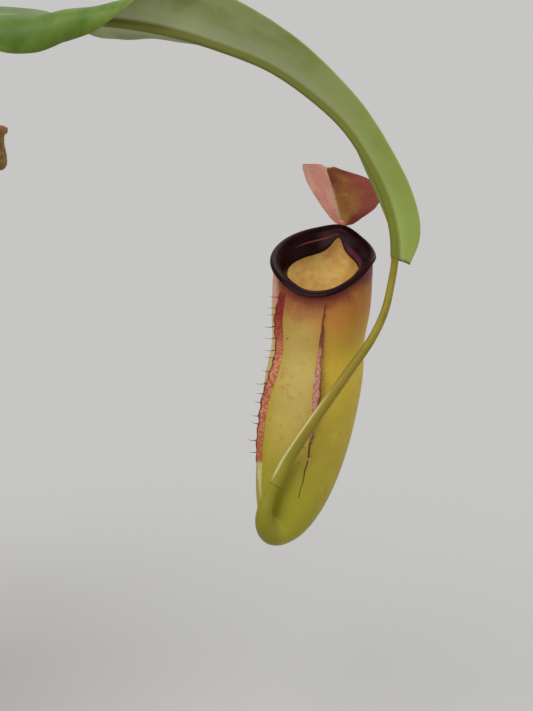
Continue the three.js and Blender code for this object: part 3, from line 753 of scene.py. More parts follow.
leaf_finish = Finish("leaf_blade", Roughness=0.45, Specular_IOR_Level=0.16, Coat_Roughness=0.35)
leaf_along, leaf_across, leaf_half = leaf_finish.trait("blade", "Vector").parts()
leaf_under = leaf_finish.trait("under")
leaf_age = leaf_finish.trait("age")
leaf_aside = abs(leaf_across)
leaf_share = leaf_aside / leaf_half
leaf_flat = leaf_finish.join(leaf_along, leaf_across)
leaf_rib = leaf_aside.step(2.7, 1.3)
leaf_edge = (leaf_half - leaf_aside).step(0.6, 0.15)
leaf_cloud = leaf_finish.noise(leaf_flat, 0.045, 4, 0.6)
leaf_speckle = leaf_finish.noise(leaf_flat, 1.4, 3, 0.6)
leaf_bent = leaf_finish.noise(leaf_finish.stretch(leaf_flat, 0.1, 0.35, 1), 1.0, 2) * 5
leaf_long_veins = ((leaf_share * 30 + leaf_bent * 0.5).wave() * 0.5 + 0.5) ** 3.0
leaf_side_veins = ((leaf_along * 2.1 - leaf_aside * 1.7 + leaf_bent).wave() * 0.5 + 0.5) ** 4.0
leaf_top = leaf_finish.paint("4c6a1c", (leaf_cloud.step(0.35, 0.65), "66802f"), (leaf_rib * 0.8, "9aa845"))
leaf_below = leaf_finish.paint(
    "808d4f",
    (leaf_cloud.step(0.38, 0.64), "9ba66e"),
    # Paler near the midrib and darker out to the edges: painted light on the curved halves.
    (leaf_share.step(0.7, 0.1) * 0.75, "b3ba90"),
    # Brighter yellow-green toward the far end: painted light shining through the blade.
    (leaf_along.step(150, 225) * 0.75, "93a54c"),
    (leaf_long_veins * 0.05, "6d7b3c"),
    (leaf_rib * 0.9, "6c6f20"),
)
leaf_old = leaf_age * (leaf_cloud + leaf_speckle * 0.3 + leaf_share * 0.45).step(1.02, 1.15)
leaf_colour = leaf_finish.paint(
    leaf_top,
    (leaf_under, leaf_below),
    (leaf_edge * 0.35, "a3a04a"),
    (leaf_speckle.step(0.6, 0.72) * 0.22, "5f6d2b"),
    (leaf_age * leaf_cloud.step(0.4, 0.7) * 0.6, "9a9a3d"),
    (leaf_old * 0.8, "7b5a30"),
)
leaf_finish.wear(
    Base_Color=leaf_colour,
    Roughness=0.36 + leaf_under * 0.16 + leaf_cloud * 0.12,
    Coat_Weight=0.1 - leaf_under * 0.08,
)
leaf_finish.bump(leaf_side_veins * 0.2 + leaf_long_veins * 0.2 + leaf_speckle * 0.5, 0.05)


def new_leaf(name, form):
    close_up(form)
    made = new_piece(f"blade_{name}", form, leaf_finish.material)
    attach(made, "root")
    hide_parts(f"leaf_{name}")


long_form = bmesh.new()
add_leaf(long_form, LONG_LEAF, 4, 150, 56, 0.1, 1.0, LONG_CORNER)
add_clasp(long_form, 228, 0, 0.1)
new_leaf("long", long_form)
for order, (name, leaf) in enumerate(LEAVES.items()):
    age = max(0.0, 1 - order / 5)
    leaf_form = bmesh.new()
    add_leaf(leaf_form, arched_leaf(leaf), 2.5, 80, 40, age, 0.8, place=round_stem(leaf))
    add_clasp(leaf_form, leaf["base"], leaf["turn"], age)
    new_leaf(name, leaf_form)


# ---- the pitchers' cups ----
# Each is a hollow cup of one thin fleshy wall. It bows forwards to its foot, which turns up in front into
# a hook, where the tendril joins it. The cup is stained red under its mouth and lightly speckled.
CUP_RADIUS = 16.8
CUP_HEIGHT = 91
CUP_WALL = 1.1
CUP_WAIST = 0.07
WAIST_AT = 0.3
WAIST_REACH = 0.08
CUP_FORWARD = 27
CUP_FLOOR = 5
MOUTH_RISES = (10.3, 9.4, 7.2, 3.8, -0.2, -4.5, -8.4, -8.2, -4.5, 0.4, 2.7, 6.4)
CUP_RIM = -0.6
HOOK_RADII = (6, 6.2, 4.9, 3.5, 2.7, 2.3, 2.15)
PITCHERS = {
    "long": dict(leaf=None, at=(187, 0, 170), heading=-25, size=1.0, aside=-2.9),
    "c": dict(leaf="c", at=(112, 6, 146), heading=72, size=0.82, aside=3),
    "d": dict(leaf="d", at=(122, -6, 150), heading=60, size=0.92, aside=-3),
    "e": dict(leaf="e", at=(124, 12, 166), heading=96, size=0.9, aside=3),
    "f": dict(leaf="f", at=(116, 6, 176), heading=66, size=0.8, aside=-2),
}
for pitcher in PITCHERS.values():
    carrier = round_stem(LEAVES[pitcher["leaf"]]) if pitcher["leaf"] else Matrix.Identity(4)
    turn = Matrix.Rotation(math.radians(pitcher["heading"]), 4, "Z")
    pitcher["place"] = carrier @ Matrix.Translation(pitcher["at"]) @ turn @ Matrix.Scale(pitcher["size"], 4)


def cup_radius(share):
    """The straight cup's radius at this share of its depth: a tube with a slight waist under the collar."""
    waist = 1 - CUP_WAIST * math.exp(-(((share - WAIST_AT) / WAIST_REACH) ** 2))
    return CUP_RADIUS * waist * math.sqrt(max(0, 1 - share**4.3))


def round_mouth(values, turn):
    """What a table gives at this turn from the front: a smooth curve through values spaced evenly round
    the mouth, from the back over the left side to the front, and on over the right side."""
    spot = (turn / (2 * math.pi) + 0.5) * len(values)
    k = int(spot)
    t = spot - k
    before, start, end, after = [values[(k + j) % len(values)] for j in (-1, 0, 1, 2)]
    bend = 2 * before - 5 * start + 4 * end - after + (3 * start - before - 3 * end + after) * t
    return start + (end - before + bend * t) * t / 2


def mouth_lift(x, y, share):
    """How far the mouth's rim rises or falls there. It tilts up to the back and to the left."""
    return round_mouth(MOUTH_RISES, math.atan2(x, -y)) * math.hypot(x, y) / CUP_RADIUS * (1 - share) ** 3


def bend_cup(p, aside):
    """Bends the straight cup: its mouth tilts, and its foot bows forwards and aside."""
    share = min(1, max(0, -p.z / CUP_HEIGHT))
    lift = mouth_lift(p.x, p.y, share)
    return Vector((p.x + aside * share**1.8, p.y - CUP_FORWARD * share**1.8, p.z + lift))


def straighten(p, aside):
    """Where a point of the bent cup lies on the straight one."""
    x, y, z = p
    for _ in range(10):
        share = min(1, max(0, -z / CUP_HEIGHT))
        x = p.x - aside * share**1.8
        y = p.y + CUP_FORWARD * share**1.8
        z = p.z - mouth_lift(x, y, share)
    return Vector((x, y, z))


def hook_points(aside):
    return [
        Vector((aside, -21.5, -81)),
        Vector((0.9 * aside, -26, -85)),
        Vector((1.3 * aside, -31, -86)),
        Vector((1.6 * aside, -35.6, -83)),
        Vector((1.5 * aside, -37.4, -78)),
        Vector((0.95 * aside, -35.7, -71.4)),
        Vector((0.15 * aside, -34, -66)),
    ]


def table_at(values, u):
    """The value at share u of an evenly spaced table, with straight lines between."""
    spot = u * (len(values) - 1)
    k = min(len(values) - 2, int(spot))
    return values[k] + (values[k + 1] - values[k]) * (spot - k)


def evenly(path, steps):
    """Places spaced evenly along a path, each with two directions across it that don't twist."""
    fine = [path(k / (steps * 12)) for k in range(steps * 12 + 1)]
    reached = [0.0]
    for a, b in zip(fine, fine[1:]):
        reached.append(reached[-1] + (b - a).length)
    rows = []
    k = 0
    side = (fine[1] - fine[0]).orthogonal().normalized()
    for step in range(steps + 1):
        goal = reached[-1] * step / steps
        while k < len(fine) - 2 and reached[k + 1] < goal:
            k += 1
        share = (goal - reached[k]) / max(1e-9, reached[k + 1] - reached[k])
        ahead = (fine[k + 1] - fine[k]).normalized()
        side = (side - ahead * side.dot(ahead)).normalized()
        rows.append((fine[k].lerp(fine[k + 1], share), side, ahead.cross(side)))
    return rows


def add_tube(form, path, radius_at, steps, sides, place=Matrix.Identity(4), traits=None):
    """A round tube along a path, closed to a point at both ends."""
    rows = evenly(path, steps)

    def put(u, v):
        k = round(u * steps)
        centre, side, over = rows[k]
        turn = 2 * math.pi * v
        radius = 0 if k in (0, steps) else radius_at(u)
        return place @ (centre + (side * math.cos(turn) + over * math.sin(turn)) * radius)

    add_sheet(form, steps, sides, put, traits)


def cup_outside(u, v):
    """The straight cup's outer form from the middle of its mouth, over its rim and down to its foot."""
    if u < 0.1:
        return on_circle(v, CUP_RADIUS * u / 0.1, 1.2)
    share = math.sin((u - 0.1) / 0.9 * math.pi / 2)
    return on_circle(v, cup_radius(share), -share * CUP_HEIGHT)


def cup_inside(u, v):
    share = math.sin(u * math.pi / 2)
    inner = CUP_RIM + (CUP_FLOOR - CUP_HEIGHT - CUP_RIM) * share
    return on_circle(v, cup_radius(share) * (1 - CUP_WALL / CUP_RADIUS), inner)


def skin(form, size, passes):
    """Melts what a form holds into one smooth skin, with faces of about this size in millimetres."""
    mesh = bpy.data.meshes.new("rough")
    form.to_mesh(mesh)
    form.free()
    rough = bpy.data.objects.new("rough", mesh)
    bpy.context.scene.collection.objects.link(rough)
    melt = rough.modifiers.new("melt", "REMESH")
    melt.mode = "VOXEL"
    melt.voxel_size = size * MM
    whole = bpy.data.meshes.new_from_object(rough.evaluated_get(bpy.context.evaluated_depsgraph_get()))
    bpy.data.objects.remove(rough)
    made = bmesh.new()
    made.from_mesh(whole)
    for _ in range(passes):
        bmesh.ops.smooth_vert(
            made, verts=made.verts, factor=0.5, use_axis_x=True, use_axis_y=True, use_axis_z=True,
        )
    return made


def cup_form(pitcher, voxel):
    """The cup as one closed wall: its melted outside, cut level under the collar, joined to its inside."""
    aside = pitcher["aside"]
    solid = bmesh.new()
    add_sheet(solid, 60, 72, lambda u, v: bend_cup(cup_outside(u, v), aside))
    hook = smooth_path(hook_points(aside) + [Vector((-0.25 * aside, -33.1, -62.5))])
    radii = (*HOOK_RADII, 1.3)
    add_tube(solid, hook, lambda u: table_at(radii, u), 40, 24)
    close_up(solid)
    form = skin(solid, voxel, 10)
    form.loops.layers.uv.verify()
    wall = form.verts.layers.float_vector.new("wall")
    lining = form.verts.layers.float.new("lining")
    hooked = form.verts.layers.float.new("hooked")
    for corner in form.verts:
        corner.co = straighten(corner.co / MM, aside) * MM
    bmesh.ops.bisect_plane(
        form, geom=[*form.verts, *form.edges, *form.faces], dist=0.0001 * MM,
        plane_co=(0, 0, CUP_RIM * MM), plane_no=(0, 0, 1), clear_outer=True,
    )
    outside = set(form.verts)
    add_sheet(form, 60, 96, cup_inside)
    bmesh.ops.remove_doubles(form, verts=[v for v in form.verts if v not in outside], dist=0.002 * MM)
    open_edges = [edge for edge in form.edges if len(edge.link_faces) == 1]
    bmesh.ops.triangle_fill(form, use_beauty=True, edges=open_edges, normal=(0, 0, 1))
    for corner in form.verts:
        x, y, z = corner.co / MM
        out = max(math.hypot(x, y), 1e-6)
        share = min(1, max(0, -z / CUP_HEIGHT))
        corner[wall] = (x / out, y / out, share)
        corner[lining] = 0.0 if corner in outside else 1.0
        corner[hooked] = min(1, max(0, (out - cup_radius(share)) / 5)) if share > 0.6 else 0.0
        corner.co = pitcher["place"] @ bend_cup(Vector((x, y, z)), aside) * MM
    bmesh.ops.recalc_face_normals(form, faces=form.faces)
    return form


cup_finish = Finish(
    "pitcher_wall", Roughness=0.45, Specular_IOR_Level=0.2, Emission_Strength=0.34,
    Subsurface_Weight=0.12, Subsurface_Radius=(1.0, 0.6, 0.3), Subsurface_Scale=1.2 * MM,
)
cup_side, cup_back, cup_depth = cup_finish.trait("wall", "Vector").parts()
cup_lining = cup_finish.trait("lining")
cup_hook = cup_finish.trait("hooked")
cup_place = cup_finish.place()
cup_cloud = cup_finish.noise(cup_place, 55, 4, 0.55)
cup_blotch = cup_finish.noise(cup_place, 130, 4, 0.6)
cup_mottle = cup_finish.noise(cup_place, 420, 3, 0.6)
cup_grain = cup_finish.noise(cup_place, 1100, 2)
cup_pips = 1 - cup_finish.cells(cup_place, 230).step(0.05, 0.17)
cup_pips = cup_pips * cup_finish.noise(cup_place, 90, 2).step(0.5, 0.62)
cup_front = (0 - cup_back).step(0.8, 0.97)
cup_right = cup_side.step(-0.1, 0.6)
cup_tan = (cup_depth + cup_blotch * 0.1).step(0.42, 0.16) * (0.3 + cup_right * 0.7)
cup_flush = (cup_depth + cup_blotch * 0.22 + cup_right * 0.05).step(0.31, 0.17)
cup_stain = (cup_depth + cup_blotch * 0.1).step(0.145, 0.075)
# The left edge is painted paler, yellow down its upper part and pink near the mouth: painted light where it
# is lit.
cup_lit_edge = cup_side.step(-0.55, -0.85)
cup_patch = cup_mottle.step(0.5, 0.7) * cup_cloud.step(0.4, 0.6)
cup_outer = cup_finish.paint(
    "a6942f",
    (cup_cloud.step(0.35, 0.65), "b8a53e"),
    (cup_right * cup_depth.step(0.75, 0.35) * 0.7, "ceb038"),
    (cup_front * cup_depth.step(0.8, 0.4) * 0.6, "bca766"),
    (cup_depth.step(0.55, 0.95) * 0.8, "989424"),
    (cup_tan * 0.85, "ad6a30"),
    (cup_flush * 0.75, "94492f"),
    (cup_stain * 0.9, "6e2a20"),
    (cup_lit_edge * cup_depth.step(0.5, 0.3) * 0.7, "d0c090"),
    (cup_lit_edge * cup_depth.step(0.2, 0.1), "cf978b"),
    (cup_patch * 0.4, "a5663c"),
    (cup_pips * 0.6, "7a3a1e"),
    (cup_hook.step(0.1, 0.8), "8b8424"),
)
# The lining's right side is painted darker: painted shade.
cup_inner = cup_finish.paint(
    "c8a862",
    (cup_blotch.step(0.35, 0.65), "b98f4c"),
    (cup_mottle.step(0.48, 0.66) * 0.35, "b06a38"),
    (cup_right * 0.35, "8f6c34"),
)
# The lining glows, most strongly near the mouth: painted light inside the cup.
cup_finish.wear(
    Base_Color=cup_finish.paint(cup_outer, (cup_lining, cup_inner)),
    Emission_Color=cup_finish.paint("000000", (cup_lining * cup_depth.step(0.9, 0.1), cup_inner)),
    Roughness=0.4 + cup_cloud * 0.14,
)
cup_finish.bump(cup_grain * 0.3 + cup_mottle * 0.5, 0.08)

for name, pitcher in PITCHERS.items():
    cup = new_piece(f"wall_{name}", cup_form(pitcher, 0.6 if name == "long" else 0.75), cup_finish.material)
    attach(cup, "root")
    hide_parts(f"cup_{name}")


# ---- the pitchers' wings ----
# Two thin ribbons run down the front of each cup and carry a fringe of soft hairs along their free edges.
# The left one is red at the top, netted with darker veins below, and ends as a narrow pale strip. The right
# one is mauve in its middle and narrows to a dark line above and below.
WING_ANGLES = {-1: (22, 26, 24.5, 27, 36, 37.5, 34.5, 32), 1: (25, 22.5, 21, 20.5, 23, 27, 29, 29)}
WING_WIDTHS = {-1: (2.7, 3.5, 3.3, 3.6, 3.4, 3.1, 2.4, 0.9), 1: (1.0, 1.5, 3.0, 4.8, 4.2, 1.3, 0.9, 0.6)}
WING_SPLAY = 35
WING_FROM = 0.045
WING_TO = 0.85
FRINGE_TO = 0.8
FRINGE = 4.2
WING_THICK = 0.4


def smooth_table(values):
    """A smooth curve through an evenly spaced table of numbers."""
    path = smooth_path([(k, value, 0) for k, value in enumerate(values)])
    return lambda u: path(u).y


wing_angle = {side: smooth_table(values) for side, values in WING_ANGLES.items()}
wing_width = {side: smooth_table(values) for side, values in WING_WIDTHS.items()}


def wing_point(side, u, out):
    """A point of the straight cup's wing at share u along it, out from the wall by that much."""
    share = WING_FROM + (WING_TO - WING_FROM) * u
    angle = side * math.radians(wing_angle[side](u))
    lean = angle + side * math.radians(WING_SPLAY)
    root = Vector((math.sin(angle), -math.cos(angle), 0)) * (cup_radius(share) - CUP_WALL * 0.6)
    return root + Vector((out * math.sin(lean), -out * math.cos(lean), -share * CUP_HEIGHT))


def add_wings(form, pitcher, hairs, steps):
    place = pitcher["place"]
    aside = pitcher["aside"]
    for side in (-1, 1):
        width = wing_width[side]

        def middle(u, v, side=side, width=width):
            frill = 0.22 * math.sin(u * 61 + side) * v * v + 0.25 * math.sin(u * 23) * v * v
            return bend_cup(wing_point(side, u, v * width(u) * (1 + 0.05 * math.sin(u * 95))), aside), frill

        for face in (-1, 1):

            def put(u, v, face=face):
                spot, frill = middle(u, v)
                a = middle(min(1, u + 0.01), v)[0] - middle(max(0, u - 0.01), v)[0]
                b = middle(u, min(1, v + 0.05))[0] - middle(u, max(0, v - 0.05))[0]
                normal = a.cross(b).normalized()
                edge = min(1, (1 - v) * 5, (1 - u) * 30, u * 30)
                thick = WING_THICK / 2 * math.sqrt(max(0, edge))
                return place @ (spot + normal * (frill + face * thick))

            add_sheet(form, steps, 6, put, lambda u, v, side=side: {"wing": (u, v, float(side))})
        for k in range(hairs):
            u = (k + chance.uniform(0.3, 0.7)) / hairs * FRINGE_TO
            reach = FRINGE * chance.uniform(0.6, 1.0) * (1 if side < 0 else 0.45)
            root = bend_cup(wing_point(side, u, width(u) - 0.35), aside)
            tip = bend_cup(wing_point(side, max(0, u - chance.uniform(0, 0.014)), width(u) + reach), aside)
            bow = Vector((0, 0, chance.uniform(-0.4, -0.1)))
            add_spike(form, place @ root, place @ tip, 0.17 * pitcher["size"], bow)
            stub = root.lerp(tip, 0.3)
            add_spike(form, place @ root, place @ stub, 0.34 * pitcher["size"], Vector())


wing_finish = Finish("wing_ribbon", Roughness=0.5, Specular_IOR_Level=0.25)
wing_u, wing_v, wing_side = wing_finish.trait("wing", "Vector").parts()
wing_right = wing_side.step(0.2, 0.8)
wing_net = wing_finish.cells(wing_finish.place(), 1000).step(0.35, 0.65)
wing_deep = (wing_u + wing_net * 0.1).step(0.36, 0.2)
wing_rims = wing_v.step(0.8, 0.94) + wing_v.step(0.25, 0.1) * wing_right.step(1, 0)
wing_line = wing_right * (wing_u.step(0.28, 0.2) + wing_u.step(0.66, 0.72))
wing_strip = wing_u.step(0.815, 0.83) * wing_right.step(1, 0)
wing_pale = wing_finish.paint(
    "cf8a68", (wing_u.step(0.45, 0.8), "a3703f"), (wing_right * 0.8, "c39a88"), (wing_deep, "97332c"),
)
wing_red = wing_finish.paint("a24a32", (wing_right * 0.7, "a56a60"), (wing_deep, "74201e"))
wing_colour = wing_finish.paint(
    wing_pale,
    (wing_net * 0.75, wing_red),
    (wing_rims * 0.85, "7a2a20"),
    (wing_line, "6e3b22"),
    (wing_strip, "b9b478"),
)
wing_finish.wear(Base_Color=wing_colour)
wing_finish.bump(wing_net, 0.06)
for name, pitcher in PITCHERS.items():
    wing_form = bmesh.new()
    hero = name == "long"
    add_wings(wing_form, pitcher, 15 if hero else 12, 160 if hero else 70)
    close_up(wing_form)
    wings = new_piece(f"wings_{name}", wing_form, wing_finish.material)
    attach(wings, "root")
    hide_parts(f"cup_{name}")


# ---- the pitchers' collars ----
# A hard, polished, almost black collar is rolled over the rim of each cup. It is ribbed from its outer lip
# over its crest and down into the mouth, where the ribs end in small teeth.
COLLAR = [
    (0.7, -0.85), (1.05, -0.35), (0.45, 0.45), (-1.4, 0.2), (-3.2, -1.5), (-4.6, -4),
    (-4, -4.6), (-2.2, -2.2), (-1.45, -0.3), (0.35, -0.3), (0.4, -0.8),
]
COLLAR_DEPTHS = (0.65, 1, 1.05, 1.02, 1.02, 1.07, 0.98, 0.86, 0.83, 0.76, 0.83, 0.8)
COLLAR_CLOSING = math.radians(9.5)
RIB_HEIGHT = 0.06
TOOTH_LENGTH = 0.35


def collar_line():
    """The collar's section as a closed smooth line, from its outer lip over the crest and back inside."""
    closed = COLLAR + [COLLAR[0]]
    return smooth_path([(out, up, 0) for out, up in closed])


def add_collar(form, pitcher, ribs, per_rib, steps):
    line = collar_line()
    around = ribs * per_rib

    def put(u, v):
        out, up, _ = line(0 if u > 0.9999 else u)
        turn = (v - 0.5) * 2 * math.pi
        closing = math.exp(-(((math.pi - abs(turn)) / COLLAR_CLOSING) ** 2))
        wave = 0.5 + 0.5 * math.cos(ribs * turn)
        worked = max(0, math.sin(math.pi * min(1, u / 0.6))) ** 0.7
        inward = -out - 1.5
        radius = CUP_RADIUS + out
        height = up
        if inward > 0:
            radius = CUP_RADIUS - 1.5 - inward * (1 - 0.5 * closing)
            height = -0.3 + (up + 0.3) * (1 - 0.6 * closing) * round_mouth(COLLAR_DEPTHS, turn)
        height += RIB_HEIGHT * wave * worked
        tooth = math.exp(-(((u - 0.47) / 0.03) ** 2)) * TOOTH_LENGTH * wave * (1 - closing)
        radius -= tooth
        spot = Vector((radius * math.sin(turn), -radius * math.cos(turn), height - 0.6 * tooth))
        return pitcher["place"] @ bend_cup(spot, 0)

    add_sheet(form, steps, around, put, lambda u, v: {"lip": (u, v, 0.0)})


collar_finish = Finish("polished_collar", Specular_IOR_Level=0.09, Specular_Tint=(1, 0.6, 0.65, 1))
collar_u, collar_v, _ = collar_finish.trait("lip", "Vector").parts()
collar_tone = collar_finish.noise(collar_finish.place(), 160, 3)
# Thin coral lines along the crest at the back left and near the outer edge at the back right: painted
# highlights.
collar_highlight_left = collar_u.step(0.35, 0.355) * collar_u.step(0.366, 0.361) * collar_v.step(0.2, 0.12)
collar_highlight_right = collar_u.step(0.12, 0.14) * collar_u.step(0.17, 0.15) * collar_v.step(0.86, 0.9)
# A purple band on the inner slope at the right, towards the back: a painted reflection.
collar_painted_sheen = collar_u.step(0.38, 0.4) * collar_u.step(0.45, 0.43)
collar_painted_sheen = collar_painted_sheen * collar_v.step(0.72, 0.8) * collar_v.step(0.98, 0.93)
collar_colour = collar_finish.paint(
    "120305",
    (collar_tone.step(0.35, 0.7), "1e0709"),
    (collar_highlight_left * 0.8 + collar_highlight_right * 0.6, "7c3a2c"),
    (collar_painted_sheen * 0.75, "5e2a38"),
)
collar_finish.wear(Base_Color=collar_colour, Roughness=0.2 + collar_tone * 0.14)
for name, pitcher in PITCHERS.items():
    collar_form = bmesh.new()
    hero = name == "long"
    add_collar(collar_form, pitcher, 120 if hero else 72, 6 if hero else 4, 56 if hero else 28)
    close_up(collar_form)
    collar = new_piece(f"peristome_{name}", collar_form, collar_finish.material)
    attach(collar, "root")
    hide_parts(f"collar_{name}")


# ---- the pitchers' lids ----
# A broad oval leaf, folded along its middle, stands over each mouth on a short stalk at the back. Its left
# half is rosy, its right half gold with red at the rim, top and foot. It is dotted with small glands and has
# short hairs along its edge.
LID_LENGTH = 25.2
LID_RISE = math.radians(60)
FOLD_LEFT = math.radians(34)
FOLD_RIGHT = math.radians(24)
LID_THICK = 0.5
LID_LEFT = (3, 7.4, 12.3, 15.6, 17.9, 18.4, 16, 9.5, 2.5)
LID_RIGHT = (3, 6.6, 12.2, 15, 15.4, 12.6, 8.2, 4.6, 2)
LID_AHEAD = Vector((0, -math.cos(LID_RISE), math.sin(LID_RISE)))
LID_UP = Vector((0, math.sin(LID_RISE), math.cos(LID_RISE)))
LID_BASE = Vector((-0.6, CUP_RADIUS + 2, MOUTH_RISES[0]))
LID_END = 0.08
LID_WIDTHS = {1: smooth_table(LID_RIGHT), -1: smooth_table(LID_LEFT)}


def lid_surface(u, v):
    """A point of the lid. u runs from its base to its tip, close together at both ends, and v across."""
    fold = FOLD_RIGHT if v >= 0 else FOLD_LEFT
    out = LID_WIDTHS[1 if v >= 0 else -1](u) * v
    along = 0.5 - math.cos(math.pi * (LID_END + (1 - 2 * LID_END) * u)) / (2 * math.cos(math.pi * LID_END))
    rise = abs(out) * math.sin(fold) - 2.2 * along * along + 0.03 * math.sin(7 * along + 2 * v) * out * v
    spot = LID_BASE + LID_AHEAD * (along * LID_LENGTH)
    return spot + Vector((1, 0, 0)) * out * math.cos(fold) + LID_UP * rise


def add_lid(form, pitcher, steps, columns, hairs):
    place = pitcher["place"]

    def normal(u, v):
        along = lid_surface(min(1, u + 0.001), v) - lid_surface(max(0, u - 0.001), v)
        across = lid_surface(u, min(1, v + 0.001)) - lid_surface(u, max(-1, v - 0.001))
        return along.cross(across).normalized()

    for face in (-1, 1):

        def put(u, w, face=face):
            v = 2 * w - 1
            edge = min(1, (1 - abs(v)) * 12, (1 - u) * 20, u * 20)
            crease = 0.25 * math.exp(-((v / 0.06) ** 2))
            thick = LID_THICK / 2 * math.sqrt(max(0, edge)) + crease * min(1, edge)
            wave = 0.25 * math.sin(u * 17 + 3 * v) * v * v
            return place @ (lid_surface(u, v) + normal(u, v) * (face * thick + wave))

        add_sheet(form, steps, columns, put, lambda u, w: {"lid": (u, 2 * w - 1, 0.0)})
    for k in range(hairs):
        share = (k + 0.5) / hairs * 2 - 1
        u, v = (1 - abs(share), math.copysign(1, share)) if abs(share) > 0.35 else (1, share / 0.35)
        if u < 0.12:
            continue
        edge = lid_surface(u, v)
        inner = lid_surface(u - 0.06, v * 0.9)
        aim = (edge - inner).normalized() + Vector([chance.uniform(-0.35, 0.35) for _ in range(3)])
        length = chance.uniform(0.35, 0.9)
        add_spike(form, place @ (edge - aim * 0.2), place @ (edge + aim * length), 0.1, Vector())


lid_finish = Finish("lid_skin", Roughness=0.5, Subsurface_Weight=0.1, Subsurface_Scale=0.8 * MM)
lid_u, lid_v, _ = lid_finish.trait("lid", "Vector").parts()
lid_place = lid_finish.place()
lid_cloud = lid_finish.noise(lid_place, 130, 4, 0.6)
lid_dots = 1 - lid_finish.cells(lid_place, 420).step(0.08, 0.2)
lid_dots = lid_dots * lid_finish.noise(lid_place, 160, 2).step(0.45, 0.6)
lid_veins = lid_finish.noise(lid_finish.stretch(lid_finish.join(lid_u, lid_v), 4, 16, 1), 1.0, 4, 0.6)
lid_rosy = lid_finish.paint(
    "f09a86",
    (lid_cloud.step(0.35, 0.65), "fbb8a2"),
    ((lid_u + lid_cloud * 0.3).step(0.6, 0.3) * 0.4, "c9685a"),
)
lid_gold = lid_finish.paint("bd8f42", (lid_cloud.step(0.4, 0.6), "b07038"))
lid_right = lid_v.step(0.0, 0.02)
lid_far = (lid_v + lid_cloud * 0.5).step(0.45, 1.0)
lid_high = (lid_u + lid_veins * 0.2).step(0.6, 0.85)
lid_crease = abs(lid_v + 0.04).step(0.09, 0.02) * lid_u.step(0.85, 0.3)
lid_rim = abs(lid_v).step(0.93, 0.985) + lid_u.step(0.975, 0.99)
lid_colour = lid_finish.paint(
    lid_rosy,
    (lid_right, lid_gold),
    (lid_right * lid_veins.step(0.5, 0.65) * 0.5, "8c4a2a"),
    (lid_right * lid_far * 0.9, "aa4a3e"),
    (lid_right * lid_high * lid_v.step(0.5, 0.0), "84332a"),
    (lid_right * lid_u.step(0.7, 0.9) * 0.6, "8a5230"),
    (lid_right * lid_u.step(0.32, 0.16) * lid_v.step(0.1, 0.5), "8a2f24"),
    (lid_crease * 0.8, "f0c79a"),
    (lid_rim * 0.7, "7c4028"),
    (lid_dots * 0.75, "6b241c"),
)
lid_finish.wear(Base_Color=lid_colour, Roughness=0.42 + lid_cloud * 0.2)
lid_finish.bump(lid_cloud * 0.6 + lid_dots * 0.4, 0.2)
for name, pitcher in PITCHERS.items():
    lid_form = bmesh.new()
    hero = name == "long"
    add_lid(lid_form, pitcher, 60 if hero else 30, 60 if hero else 30, 70 if hero else 36)
    close_up(lid_form)
    stalk_foot = [LID_BASE + Vector((0, -1.4, -4)), LID_BASE + Vector((0, 0, -1))]
    stalk = smooth_path([*stalk_foot, lid_surface(0.2, 0)])
    add_tube(
        lid_form, stalk, lambda u: 1.5 - 0.7 * u, 10, 12, pitcher["place"],
        lambda u, v: {"lid": (0.1, -0.3, 0.0)},
    )
    close_up(lid_form)
    lid = new_piece(f"cover_{name}", lid_form, lid_finish.material)
    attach(lid, "root")
    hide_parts(f"lid_{name}")


# ---- the young pitchers ----
# Small closed pitchers on the ends of the youngest tendrils: a brown downy club with two fringed seams in
# front, whose lid is still shut and ends in a pointed hood.
BUDS = {
    "g": dict(at=(116, -8.7, 195.5), length=18, lean=(0, 0, 0)),
    "h": dict(at=(112, 14, 244), length=24, lean=(8, 10, 0)),
    "i": dict(at=(84, -10, 296), length=15, lean=(-10, 6, 0)),
}
BUD_LINE = [
    (0.055, 0), (0.17, 0.03), (0.24, 0.16), (0.23, 0.34), (0.15, 0.68), (0.145, 0.775),
    (0.195, 0.85), (0.16, 0.94), (0.0, 1),
]
BUD_LEAN = 0.16


def leaned(lean):
    """The turn of three angles in degrees, about X, then Y, then Z of the turned piece."""
    x, y, z = [Matrix.Rotation(math.radians(a), 4, axis) for a, axis in zip(lean, "XYZ")]
    return x @ y @ z


for name, bud in BUDS.items():
    bud["place"] = round_stem(LEAVES[name]) @ Matrix.Translation(bud["at"]) @ leaned(bud["lean"])


def add_bud(form, bud, hairs):
    length = bud["length"]
    line = smooth_path([(r, z, 0) for r, z in BUD_LINE])

    def spot(u, v):
        radius, height, _ = line(u)
        turn = (v - 0.5) * 2 * math.pi
        seam = 0.02 * math.exp(-(((abs(turn) - 0.42) / 0.12) ** 2)) * math.sin(math.pi * min(1, height))
        groove = -0.012 * math.exp(-(((height - 0.775) / 0.012) ** 2))
        radius = (max(0, radius) + (seam + groove) * (radius > 0.02)) * length
        lean = BUD_LEAN * length * height**3
        return Vector((radius * math.sin(turn), -radius * math.cos(turn) - lean, height * length))

    add_sheet(form, 60, 36, lambda u, v: bud["place"] @ spot(u, v), lambda u, v: {"bud": (u, v, 0.0)})
    for k in range(hairs):
        u = chance.uniform(0.12, 0.97)
        v = chance.random() if k % 2 else 0.5 + chance.choice((-1, 1)) * 0.067
        root = spot(u, v)
        out = Vector((root.x, root.y + BUD_LEAN * length * (root.z / length) ** 3, 0)).normalized()
        aim = out + Vector([chance.uniform(-0.4, 0.4) for _ in range(2)] + [chance.uniform(0, 0.8)])
        near, far = [bud["place"] @ p for p in (root - out * 0.1, root + aim * 0.5)]
        add_spike(form, near, far, 0.06, Vector(), 3, 2)


